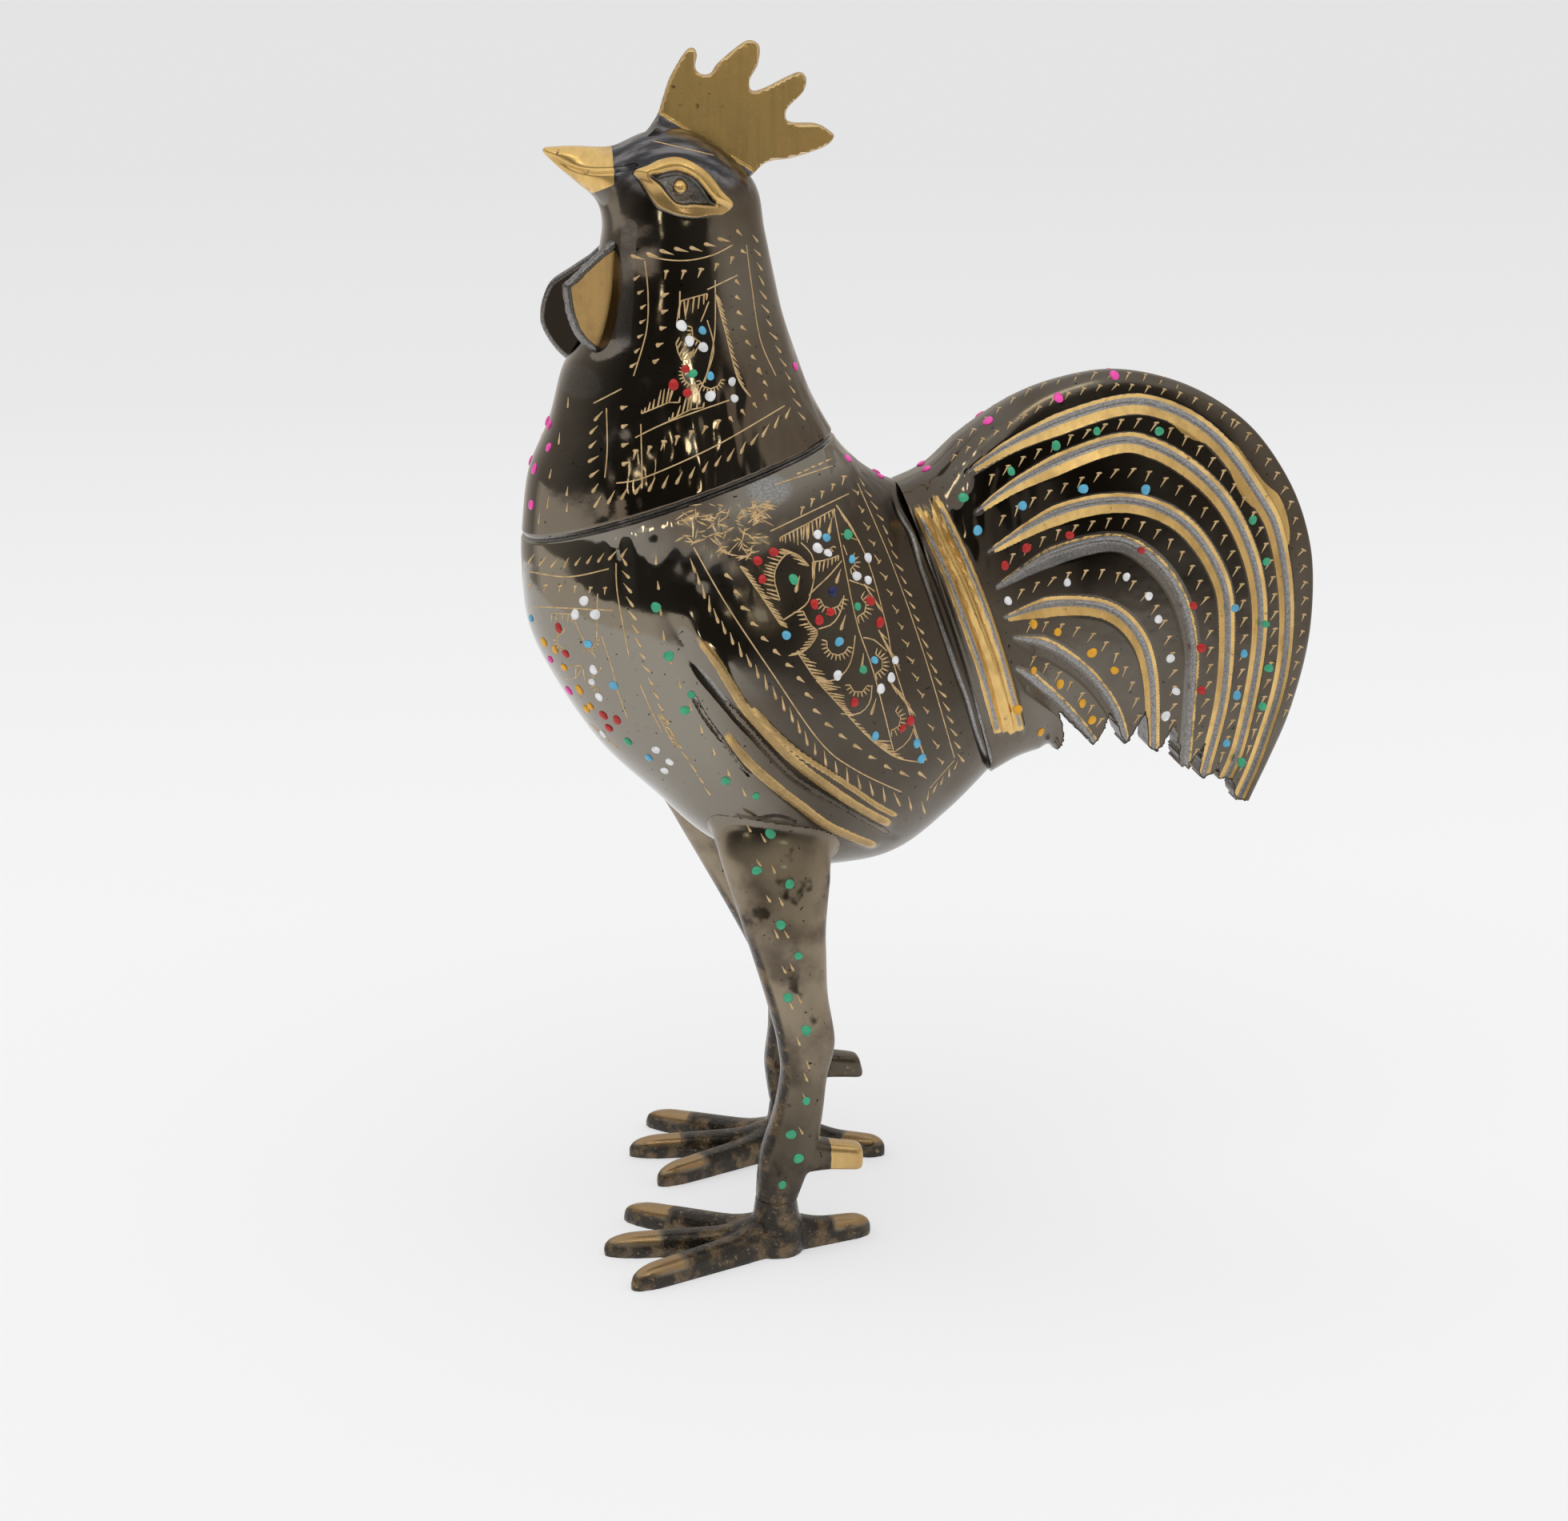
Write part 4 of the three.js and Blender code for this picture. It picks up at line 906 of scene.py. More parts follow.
def groove(side_view, line, worn):
    """Height, brass and bare metal of a groove whose bed lies nearer to its outer edge."""
    gap, place, side = line_distance(side_view, smooth_line(line, 90))
    start = GROOVE_ROOT + place / GROOVE_FULL_FROM * (1 - GROOVE_ROOT)
    fullness = np.where(place < GROOVE_FULL_FROM, start, 1.06 - 0.4 * place)
    width = GROOVE_HALF_WIDTH * fullness
    offset = gap * side
    bed = GROOVE_BED * width
    share = np.where(offset > bed, (offset - bed) / (width - bed), (bed - offset) / (width + bed))
    height = -GROOVE_DEPTH * fullness * np.clip(1 - share, 0.0, 1.0)
    bare = fade(0.26, 0.46, np.abs(offset - bed) / width)
    flank = fade(*GROOVE_RIM, share)
    inner = flank * (offset < bed)
    outer = flank * ease(0.3, 0.5, share) * (offset >= bed)
    brass = np.maximum(worn * inner, outer * (0.35 + 0.65 * worn)) * ease(0.0, 0.02, place)
    return height, brass, np.maximum(bare, (1 - worn) * inner * 0.8)


def tail_bands(side_view, tree):
    """Height, brass and bare metal of the bands at the tail's root and of the gilt valleys between them."""
    height, brass, bare = np.zeros((3, len(side_view)))
    for pixels, lift, rubbed in zip(TAIL_BANDS, BAND_HEIGHTS, BAND_RUBBED):
        rise, gap, taper = ridge(side_view, tree, pixels, lift, BAND_WIDTH)
        height += rise
        brass = largest(brass, fade(0.7, 1.1, gap) * taper)
        bare = largest(bare, rubbed * fade(0.25, 0.6, gap) * ease(0.6, 1.0, taper))
    for first, second in zip(TAIL_BANDS, TAIL_BANDS[1:]):
        middle = (np.array(first, float) + np.array(second, float)) / 2
        rise, gap, taper = ridge(side_view, tree, middle, -VALLEY_DEPTH, VALLEY_WIDTH)
        height += rise
        brass = largest(brass, fade(0.5, 0.9, gap) * taper)
    return height, brass, bare


def tail_relief(points, tree):
    x, z = points[:, 0], points[:, 2]
    side_view = points[:, [0, 2]]
    height, brass, bare = tail_bands(side_view, tree)
    patch = ring_distance(side_view, traced(tree, TAIL_BRASS_PATCH, smooth_ring, 120))
    brass = largest(brass, ease(-0.1, 0.15, patch))
    for line, worn in zip(TAIL_GROOVES, GROOVE_WEAR):
        depth, flank, bed = groove(side_view, line, worn)
        height += depth
        brass = largest(brass, flank)
        bare = largest(bare, bed)
    root, root_bare, gap = root_groove(side_view, tree)
    from_root = distance_from(side_view, TAIL_GLOSS)
    from_black = distance_from(side_view, TAIL_BLACK)
    inside = ring_distance(side_view, np.vstack([smooth_line(TAIL_GROOVES[0], 90), TAIL_UNDER]))
    return height + root, {
        "brass": brass,
        "bare": largest(bare, root_bare),
        "matt": largest(TAIL_MATTNESS * ease(8.0, 24.0, from_root), WING_MATTNESS * fade(3.0, 6.0, gap)),
        "dent": 0.8 * fade(6.0, 18.0, from_root),
        "black": 0.9 * fade(10.0, 24.0, from_black) * ease(-1.0, 2.0, inside),
        # Painted reflection: low at the tail's front the lacquer is painted less dark, as if it mirrored the
        # table.
        "dark": 0.4 * (1 - 0.6 * fade(98.0, 116.0, z) * fade(34.0, 44.0, x)),
    }


def eye_relief(side_view, tree):
    """Height and brass of lids and pupil, and how much of the socket and of the lower lid shows."""
    lid = ring_distance(side_view, traced(tree, LID_OUTLINE, smooth_ring, 80))
    eye = ring_distance(side_view, traced(tree, EYE_OUTLINE, smooth_ring, 80))
    pupil = distance_from(side_view, side_point(tree, PUPIL))
    front, rear = (side_point(tree, pixel) for pixel in EYE_CORNERS)
    across = np.array([front[1] - rear[1], rear[0] - front[0]]) / np.linalg.norm(rear - front)
    upper = ease(-0.6, 0.8, (side_view - front) @ across)
    roll = np.sqrt(np.clip(1 - ((lid - 0.75) / 1.1) ** 2, 0.0, 1.0)) * (eye < 0) * upper
    height = LID_RISE * ease(-0.5, 0.3, lid) + LID_ROLL * roll - EYE_DEPTH * ease(-0.15, 0.6, eye)
    height += PUPIL_RISE * np.sqrt(np.clip(1 - (pupil / PUPIL_RADIUS) ** 2, 0.0, 1.0))
    gilt = ease(-0.3, 0.2, lid)
    brass = largest(gilt * fade(-0.1, 0.3, eye), fade(1.1, 1.35, pupil))
    socket = ease(0.0, 0.5, eye) * ease(1.15, 1.5, pupil)
    return height, brass, socket, gilt * (1 - upper)


def neck_relief(points, tree):
    x, z = points[:, 0], points[:, 2]
    side_view = points[:, [0, 2]]
    height, brass, socket, lower_lid = eye_relief(side_view, tree)
    mouth, _, _ = ridge(side_view, tree, MOUTH_LINE, -MOUTH_DEPTH, MOUTH_WIDTH)
    lip, lip_bare = seam_lip(side_view)
    edge = BEAK_EDGE + 0.012 * (z - 203.0) ** 2 - 0.4
    jaw = z - 200.4 - 0.5 * (x - BEAK_EDGE)
    beak = fade(-0.25, 0.25, x - edge) * ease(-0.4, 0.4, jaw)
    strip, _, _ = line_distance(side_view, traced(tree, WATTLE_STRIP))
    throat = distance_from(side_view, side_point(tree, THROAT_PATCH), THROAT_REACH)
    rubbed = 0.5 * largest(fade(1.2, 1.8, strip), fade(0.6, 1.1, throat))
    return height + mouth + lip, {
        "brass": largest(beak, brass),
        "bare": largest(lip_bare, 0.6 * socket, rubbed),
        "cast": 0.6 * socket,
        "dent": seam_dents(side_view, NECK_DENTS),
        # Painted sheen: the front of the neck is slightly lightened.
        "painted_reflection": 0.15 * fade(-68.0, -58.0, x),
        "copper": 0.55 * lower_lid,
        "brushed": ease(196.0, 203.0, z),
    }


# Pieces.
def displaced_rows(ribs, counts, fullness, relief, tree):
    """Rows of a lofted form with its relief, the angles round them and the layers of finish."""
    rows = ribs_between(ribs, 0, len(ribs) - 1, counts[0])
    angles = even_angles(counts[1], rows[len(rows) // 3], fullness, SHELL_EGG)
    grid = section_grid(rows, angles, fullness)
    flat = grid.reshape(-1, 3)
    height, layers = relief(flat, tree)
    flat = flat + grid_normals(grid).reshape(-1, 3) * height[:, None]
    return flat.reshape(grid.shape), angles, layers


def shell_piece(name, grid, inner, layers):
    """A shell from its outer rows, which end at the rim, and the rows of its hollow, rough as cast."""
    points, faces = closed_skin(np.concatenate([grid[::-1], inner]))
    piece = make_piece(name, points, faces)
    outside = grid.shape[0] * grid.shape[1]
    for layer, values in layers.items():
        padded = np.zeros(outside)
        padded[:len(values)] = values
        turned_round = padded.reshape(grid.shape[:2])[::-1].ravel()
        layers[layer] = np.concatenate([turned_round, np.zeros(len(points) - outside)])
    rough = np.zeros(len(points))
    rough[outside:] = 1.0
    layers["cast"] = np.maximum(layers.get("cast", 0.0), rough)
    tint(piece, **layers)
    return piece


def hollow_rows(ribs, end, angles, rim_shift):
    rows = inset_ribs(ribs_between(ribs, 0, end, 5 * end), WALL)
    rows[0] = shift_ribs(rows[:1], rim_shift)[0]
    return section_grid(rows, angles)


def spigot_rows(gap):
    joint = np.array([list(TAIL_JOINT) + [0.0]])
    root = inset_ribs(joint, SPIGOT_INSET - gap)
    end = shift_ribs(inset_ribs(root, SPIGOT_TAPER), -SPIGOT_LENGTH - gap)
    return np.vstack([root, end])


def boss_form(side, tree):
    """A boss round a leg's stud. Its first two rings follow the floor of the hollow."""
    bore = STUD_RADIUS + FIT_GAP
    profile = ((BOSS_RADIUS + 0.8, 0.0), (BOSS_RADIUS, 2.5), (BOSS_RADIUS, BOSS_TOP - 0.6),
               (BOSS_RADIUS - 0.6, BOSS_TOP), (bore, BOSS_TOP), (bore, BOSS_TOP - 3.0))
    rings = level_rings((STUD_X, side * STUD_Y), [(radius, radius, z) for radius, z in profile], 32)
    for point in rings[:2].reshape(-1, 3):
        floor = tree.ray_cast(Vector((point[0], point[1], BOSS_TOP)), Vector((0, 0, -1)))[0]
        point[2] += (floor.z if floor else BOSS_TOP - 5.0) - BOSS_SUNK
    return closed_skin(np.minimum(rings, [np.inf, np.inf, BOSS_TOP]))


def build_body(tree):
    grid, angles, layers = displaced_rows(BODY_RIBS, BODY_GRID, SHELL_FULLNESS, body_relief, tree)
    inner = hollow_rows(BODY_RIBS, BODY_HOLLOW_RIB, angles, 0.0)
    spigot = section_grid(spigot_rows(0.0), angles)
    piece = shell_piece("rooster_body", np.concatenate([grid, spigot]), inner, layers)
    return piece, closed_skin(grid)


def add_bosses(piece):
    tree = tree_of(*piece_form(piece))
    points, faces = join_forms([boss_form(side, tree) for side in (-1, 1)])
    bosses = make_piece("leg_bosses", points, faces)
    tint(bosses, cast=np.ones(len(points)))
    return bosses


def build_neck():
    tree = plain_tree(NECK_RIBS, SHELL_FULLNESS)
    grid, angles, layers = displaced_rows(NECK_RIBS, NECK_GRID, SHELL_FULLNESS, neck_relief, tree)
    inner = hollow_rows(NECK_RIBS, NECK_HOLLOW_RIB, angles, FIT_GAP)
    return shell_piece("rooster_head", grid, inner, layers), closed_skin(grid)


def build_tail():
    tree = plain_tree(TAIL_RIBS, TAIL_FULLNESS)
    grid, angles, _ = displaced_rows(TAIL_RIBS, TAIL_GRID, TAIL_FULLNESS, tail_relief, tree)
    socket = section_grid(spigot_rows(FIT_GAP), angles)
    piece = make_piece("rooster_tail", *closed_skin(np.concatenate([grid[::-1], socket])))
    cut_away(piece, prism("tips_cutter", np.vstack([tips_line(), BELOW_TIPS]), -30.0, 30.0))
    points = mesh_points(piece)
    _, layers = tail_relief(points, tree)
    ragged, _, _ = line_distance(points[:, [0, 2]], tips_line())
    cast = fade(0.02, 0.5, ragged)
    layers["brass"] *= 1 - cast
    tint(piece, cast=cast, **layers)
    piece.data.set_sharp_from_angle(angle=TIP_CORNER)
    return piece


def tips_line():
    """The ragged ends of the feathers, a little rougher than their corners."""
    line = np.array(FEATHER_TIPS)
    corners = np.arange(len(line))
    sharp = places_at(line, corners, np.linspace(0, corners[-1], TIP_POINTS))
    return sharp + np.random.default_rng(3).normal(0, TIP_ROUGHNESS, sharp.shape)


def prism(name, outline, near, far):
    """A solid with an outline in side view, from one y to another."""
    count = len(outline)
    points = [(x, y, z) for y in (near, far) for x, z in outline]
    faces = [list(range(count)), list(range(2 * count - 1, count - 1, -1))]
    faces += [[k, (k + 1) % count, count + (k + 1) % count, count + k] for k in range(count)]
    return make_piece(name, points, faces)


def rake(points):
    """The right leg's points from the mirrored left leg's."""
    moved = points * MIRROR
    moved[:, 0] += RIGHT_LEG_RAKE * (HIP_HEIGHT - moved[:, 2])
    return moved


def block_rows(stations, sides=28):
    """Rings of rounded blocks along x: x, centre y, centre z, half-width, half-height."""
    angles = np.arange(sides) * 2 * math.pi / sides
    wide = rounded(np.cos(angles), 0.5)
    high = rounded(np.sin(angles), 0.5)
    return np.array([
        np.stack([np.full(sides, x), y + half * wide, z + tall * high], axis=1)
        for x, y, z, half, tall in stations
    ])


def spur_form():
    root = SPUR_START + SPUR_ROOT
    stations = [(SPUR_START, SPUR_Y, SPUR_HEIGHT + 0.6, 3.4, 4.4), (root, SPUR_Y, SPUR_HEIGHT, 3.0, 3.0)]
    for reach, half, tall in SPUR_SECTIONS:
        stations.append((root + reach, SPUR_Y, SPUR_HEIGHT - SPUR_DROP * reach, half, tall))
    return closed_skin(block_rows(stations))


def limb_form():
    rows = ribs_between(LEG_RIBS, 0, len(LEG_RIBS) - 1, 150)
    angles = even_angles(96, rows[60], LEG_FULLNESS, 0.0)
    return closed_skin(section_grid(rows, angles, LEG_FULLNESS, 0.0))


def hip_form():
    """The part of the body round the hip, a little inside its surface."""
    rows = inset_ribs(ribs_between(BODY_RIBS, 2, len(BODY_RIBS) - 1, 90), HIP_INSET)
    angles = even_angles(220, rows[45], SHELL_FULLNESS, SHELL_EGG)
    hip = make_piece("hip", *closed_skin(section_grid(rows, angles)))
    (x0, x1), (y0, y1), (z0, z1) = HIP_BOX
    box = prism("hip_box", ((x0, z0), (x1, z0), (x1, z1), (x0, z1)), y0, y1)
    cut_away(hip, box, "INTERSECT")
    form = piece_form(hip)
    bpy.data.objects.remove(hip)
    return form


def run_out(piece, body_tree):
    """Softens the corner where the thigh meets the body into a wide fillet."""
    points = mesh_points(piece)
    group = piece.vertex_groups.new(name="hip")
    for index in np.nonzero(points[:, 2] > HIP_BOX[2][0])[0]:
        _, _, _, gap = body_tree.find_nearest(Vector(points[index]))
        weight = float(fade(*FILLET_REACH, gap))
        if weight > 0:
            group.add([int(index)], weight, "REPLACE")
    soften(piece, FILLET_ROUNDS, group.name)


def stud_form(side):
    profile = ((0.2, STUD_FOOT), (STUD_RADIUS, STUD_FOOT), (STUD_RADIUS, STUD_TOP - 0.8),
               (STUD_RADIUS - 0.7, STUD_TOP))
    rings = level_rings((STUD_X, side * STUD_Y), [(radius, radius, z) for radius, z in profile], 24)
    return closed_skin(rings)


def build_leg(name, side, body_form, body_tree, relief_tree):
    limb_points, limb_faces = join_forms([limb_form(), spur_form()])
    hip_points, hip_faces = hip_form()
    if side > 0:
        limb_points = rake(limb_points)
        hip_points = hip_points * MIRROR
    leg = make_piece(name, *join_forms([(limb_points, limb_faces), (hip_points, hip_faces)]))
    cast_together(leg, LEG_VOXEL, 6)
    run_out(leg, body_tree)
    cut_away(leg, make_piece("body_space", *body_form))
    forms = [piece_form(leg), stud_form(side)]
    bpy.data.objects.remove(leg)
    leg = make_piece(name, *join_forms(forms))
    tint_leg(leg, side, relief_tree)
    return leg


def tint_leg(leg, side, relief_tree):
    """Dull below, with a rough front edge, and as glossy as the body from the hip up."""
    points = mesh_points(leg)
    _, skin = body_relief(points, relief_tree)
    x, z = points[:, 0], points[:, 2]
    hip = ease(74.0, 87.0, z)
    if side > 0:
        x = x - RIGHT_LEG_RAKE * (HIP_HEIGHT - z)
    spur = ease(-22.2, -21.4, x) * fade(24.0, 26.0, z) * ease(13.0, 14.0, z) * (1.0 if side < 0 else 0.4)
    front = np.interp(z, [rib[1] for rib in LEG_RIBS], [rib[0] for rib in LEG_RIBS])
    edge = fade(0.9, 2.3, x - front)
    cast = largest(edge * fade(56.0, 72.0, z), fade(11.0, 19.0, z))
    # Above the hip the leg takes the body's layers, its painted reflection among them.
    shared = {layer: hip * skin[layer] for layer in ("painted_reflection", "dark", "matt")}
    tint(leg, brass=0.9 * spur, cast=0.9 * cast * (1 - spur), dull=(1 - 0.85 * spur) * (1 - hip),
         bare=0.2 * edge * (1 - hip), black=0.66 * fade(18.0, 52.0, z),
         copper=largest(0.4 * spur, hip * skin["copper"]), **shared)


def toe_form(length, turn, centre):
    stations = np.concatenate([np.linspace(0, TOE_TIP, 14), np.linspace(TOE_TIP + 0.04, 1.0, 8)])
    sides = 24
    rings = []
    for t in stations:
        tip = math.sqrt(max(1 - ((t - TOE_TIP) / 0.205) ** 2, 0.02)) if t > TOE_TIP else 1.0
        half = TOE_HALF_WIDTH * (1 - 0.2 * t) * tip
        rise = INSTEP_RISE * max(0.0, 1 - t * length / INSTEP_REACH) ** 2
        tall = (TOE_HEIGHT * (1 - 0.25 * t)) * math.sqrt(tip) + rise
        angles = np.linspace(0, math.pi, sides)
        wide = half * rounded(np.cos(angles), 0.6)
        high = tall * np.sin(angles) ** 0.55
        rings.append(np.stack([np.full(sides, -length * t), wide, high], axis=1))
    points, faces = closed_skin(np.array(rings))
    points = points @ turned(turn).T
    return points + np.array([centre[0], centre[1], 0.0]), faces


def turned(angle):
    c, s = math.cos(angle), math.sin(angle)
    return np.array([[c, -s, 0.0], [s, c, 0.0], [0.0, 0.0, 1.0]])


def build_foot(name, side, centre, turn, hind_turn):
    toes = [(TOE_LENGTH, turn - TOE_SPREAD), (TOE_LENGTH, turn), (TOE_LENGTH, turn + TOE_SPREAD),
            (HIND_TOE_LENGTH, 180 - hind_turn)]
    forms = [toe_form(length, math.radians(-side * outward), centre) for length, outward in toes]
    forms.append(closed_skin(level_rings(centre, HUB_PROFILE, 40)))
    foot = make_piece(name, *join_forms(forms))
    cast_together(foot, FOOT_VOXEL, 5)
    points = mesh_points(foot)
    points[:, 2] = np.maximum(points[:, 2] - points[:, 2].min(), 0.0)
    points[points[:, 2] < SOLE_CUT, 2] = 0.0
    move_points(foot, points)
    reach = np.linalg.norm(points[:, :2] - np.array(centre), axis=1)
    behind = points[:, 0] > centre[0] + 6
    worn = np.where(behind, ease(10.5, 12.5, reach), ease(20.5, 23.5, reach))
    worn *= ease(1.6, 3.4, points[:, 2])
    full = np.ones(len(points))
    tint(foot, brass=0.62 * worn, cast=1 - 0.95 * worn, dull=full, copper=full)
    return foot


# Plates with rounded rims.
def rounded_plate(outline, half, rim, spacing):
    """A plate in side view, of full thickness inside and rounded off over its rim."""
    low = outline.min(axis=0)
    high = outline.max(axis=0)
    columns, rows = np.meshgrid(np.arange(low[0], high[0], spacing), np.arange(low[1], high[1], spacing))
    inner = np.stack([columns.ravel(), rows.ravel()], axis=1)
    inner = inner[ring_distance(inner, outline) > 0.5 * spacing]
    edge = [(k, (k + 1) % len(outline)) for k in range(len(outline))]
    spots = [Vector(point) for point in np.vstack([outline, inner])]
    found, _, triangles, *_ = delaunay_2d_cdt(spots, edge, [], 1, 1e-5)
    flat = np.array([list(point) for point in found])
    depth = np.clip(ring_distance(flat, outline), 0.0, rim) / rim
    depth[depth < 0.02] = 0.0
    thick = half * np.sqrt(1 - (1 - depth) ** 2)
    count = len(flat)
    rim_points = depth == 0.0
    twin = np.where(rim_points, np.arange(count), count + np.cumsum(~rim_points) - 1)
    front = np.stack([flat[:, 0], thick, flat[:, 1]], axis=1)
    back = np.stack([flat[:, 0], -thick, flat[:, 1]], axis=1)[~rim_points]
    faces = [list(face) for face in triangles]
    faces += [[int(twin[index]) for index in reversed(face)] for face in triangles]
    return np.vstack([front, back]), faces


def over_root(points):
    """Height over the line to which the comb is left black."""
    start, height, slope = COMB_ROOT
    return points[:, 2] - height + slope * (points[:, 0] - start)


def build_comb(neck_form):
    outline = smooth_ring(COMB_OUTLINE, 260)
    points, faces = rounded_plate(outline, *COMB_PLATE)
    points[:, 1] *= 1 + COMB_FLARE * fade(-3.0, 0.6, over_root(points))
    piece = make_piece("rooster_comb", points, faces)
    cut_away(piece, make_piece("neck_space", *neck_form))
    points = mesh_points(piece)
    tint(piece, brass=ease(-0.35, 0.35, over_root(points)), brushed=np.ones(len(points)))
    piece.data.set_sharp_from_angle(angle=PLATE_CORNER)
    return piece


def build_wattle(name, outline, side, neck_form):
    ring = smooth_ring(outline, 160)
    points, faces = rounded_plate(ring, *WATTLE_PLATE)
    root = np.array([max(x for x, _ in outline), side * WATTLE_ROOT_Y, 0.0])
    hinge = root * np.array([1.0, 0.0, 1.0])
    piece = make_piece(name, (points - hinge) @ turned(-side * WATTLE_SPLAY).T + root, faces)
    cut_away(piece, make_piece("neck_space", *neck_form))
    flat = (mesh_points(piece) - root) @ turned(side * WATTLE_SPLAY).T + hinge
    front_edge = smooth_line(outline[:10], 80)
    edge, _, _ = line_distance(flat[:, [0, 2]], front_edge)
    outer = ease(-0.9, -0.6, side * flat[:, 1])
    rim = fade(0.8, 1.6, edge)
    full = np.ones(len(flat))
    tint(piece, brass=outer * (1 - rim), cast=0.4 * rim, bare=0.7 * rim, copper=0.45 * full, black=full)
    piece.data.set_sharp_from_angle(angle=PLATE_CORNER)
    return piece


# Engraving and enamel, laid on the finished surfaces.
def piece_tree(piece):
    return BVHTree.FromObject(piece, bpy.context.evaluated_depsgraph_get())


def sliver(places, normals, widths):
    """A thin brass filling in a cut, flush with the surface."""
    along = np.gradient(places, axis=0)
    across = np.cross(normals, along)
    across /= np.maximum(np.linalg.norm(across, axis=1, keepdims=True), 1e-9)
    half = np.asarray(widths)[:, None] / 2
    return closed_skin(np.stack([
        places + across * half + normals * 0.02,
        places + normals * 0.06,
        places - across * half + normals * 0.02,
        places - normals * 0.2,
    ], axis=1))


def mark_places(count, line):
    """Places evenly apart along a smooth line, or the points themselves where no count is given."""
    if not count:
        return line
    dense = smooth_line(line, 200)
    reach = reach_along(dense)
    return places_at(dense, reach, np.linspace(0, reach[-1], count))


def mark_points(place, direction, length, shares):
    angle = math.radians(direction)
    step = np.array([math.cos(angle), -math.sin(angle)]) * length
    return [np.array(place) + step * (share - 0.5) for share in shares]


class Ornament:
    """Engraving or enamel on the finished surfaces, with its mirror image, kept by body."""

    def __init__(self, surfaces):
        self.surfaces = surfaces
        self.forms = {"head": [], "body": []}

    def spot_at(self, start, direction):
        """Nearest point of the surfaces along a line: place, normal and the surface's name."""
        best = None
        for name, tree in self.surfaces.items():
            place, normal, _, reach = tree.ray_cast(Vector(start * MM), direction)
            if place is not None and (best is None or reach < best[0]):
                best = (reach, np.array(place) / MM, np.array(normal), name)
        return best[1:] if best else None

    def pixel_spot(self, pixel):
        return self.spot_at(EYE_POINT, sight_line(pixel))

    def side_spot(self, place):
        return self.spot_at(np.array([place[0], -100.0, place[1]]), Vector((0.0, 1.0, 0.0)))

    def keep(self, form, name):
        points, faces = form
        forms = self.forms["head" if name == "neck" else "body"]
        forms.append(form)
        if np.abs(points[:, 1]).min() < MEDIAN_BAND:
            return
        if name == "left_leg":
            points = rake(points)
            middle = points.mean(axis=0)
            nearest = self.surfaces["right_leg"].find_nearest(Vector(middle * MM))[0]
            points = points + np.array(nearest) / MM - middle
        else:
            points = points * MIRROR
        forms.append((points, faces))

    def strike(self, spots, widths):
        """Cuts a stroke through spots that lie close together on one surface."""
        if any(spot is None for spot in spots) or len({spot[2] for spot in spots}) > 1:
            return
        places = np.array([spot[0] for spot in spots])
        normals = np.array([spot[1] for spot in spots])
        if np.linalg.norm(np.diff(places, axis=0), axis=1).max() < LONGEST_STEP:
            self.keep(sliver(places, normals, widths), spots[0][2])

    def stroke(self, pixels, widths):
        self.strike([self.pixel_spot(pixel) for pixel in pixels], widths)

    def drop(self, place, direction, length, width):
        points = mark_points(place, direction, length, (0.0, 0.4, 0.8, 1.0))
        self.stroke(points, np.array([0.15, 0.5, 1.0, 0.6]) * width)

    def tee(self, place, direction, length, width):
        stem = mark_points(place, direction, length, ENDS_AND_MIDDLE)
        self.stroke(stem, np.array([0.2, 0.5, 0.75]) * width)
        bar = mark_points(stem[-1], direction - 75, 0.6 * length, ENDS_AND_MIDDLE)
        self.stroke(bar, np.array([0.4, 0.7, 0.5]) * width)

    def line(self, pixels, width=0.26):
        line = smooth_line(pixels, max(3, int(reach_along(pixels)[-1] / 7)))
        self.stroke(line, np.full(len(line), width))

    def hatch(self, direction, first, last, spacing, path):
        count = max(2, int(reach_along(path)[-1] / spacing))
        for k, place in enumerate(smooth_line(path, count)):
            length = (first + (last - first) * k / (count - 1)) * (0.8 + 0.4 * random.random())
            points = mark_points(place, direction + random.normal(0, 4), length, (0.5, 1.0, 1.5))
            self.stroke(points, (0.34, 0.34, 0.16))
        self.line(path, 0.24)

    def crescent(self, x, y, radius, start, end, fringe):
        angles = np.radians(np.linspace(start, end, 14))
        self.line([(x + radius * math.cos(a), y - radius * math.sin(a)) for a in angles], 0.24)
        count = max(6, int(radius * math.radians(abs(end - start)) / 3.4))
        reach = radius + fringe / 2
        for angle in np.linspace(start, end, count):
            turn = math.radians(angle)
            middle = (x + reach * math.cos(turn), y - reach * math.sin(turn))
            self.stroke(mark_points(middle, angle, fringe, ENDS_AND_MIDDLE), (0.28, 0.3, 0.14))

    def scribble(self, middle, reach, count):
        for _ in range(count):
            place = np.array(middle) + random.uniform(-1, 1, 2) * np.array(reach)
            points = mark_points(place, random.normal(12, 30), random.uniform(6, 18), ENDS_AND_MIDDLE)
            self.stroke(points, (0.12, random.uniform(0.2, 0.45), 0.12))

    def feather_marks(self):
        """Rows of small tees midway between the grooves of the tail."""
        for outer, inner in zip(TAIL_GROOVES, TAIL_GROOVES[1:]):
            row = (smooth_line(outer, 80) + smooth_line(inner, 80)) / 2
            reach = reach_along(row)
            for place in places_at(row, reach, np.arange(4.0, reach[-1] - 5.0, 3.4)):
                lean = math.radians(60 + random.normal(0, 6))
                step = np.array([math.cos(lean), math.sin(lean)])
                stem = [place + step * share for share in (-1.0, 0.0, 1.0)]
                self.strike([self.side_spot(point) for point in stem], (0.12, 0.3, 0.5))
                bar = [place + step + np.array([offset, 0.05]) for offset in (-0.55, 0.0, 0.5)]
                self.strike([self.side_spot(point) for point in bar], (0.2, 0.4, 0.3))

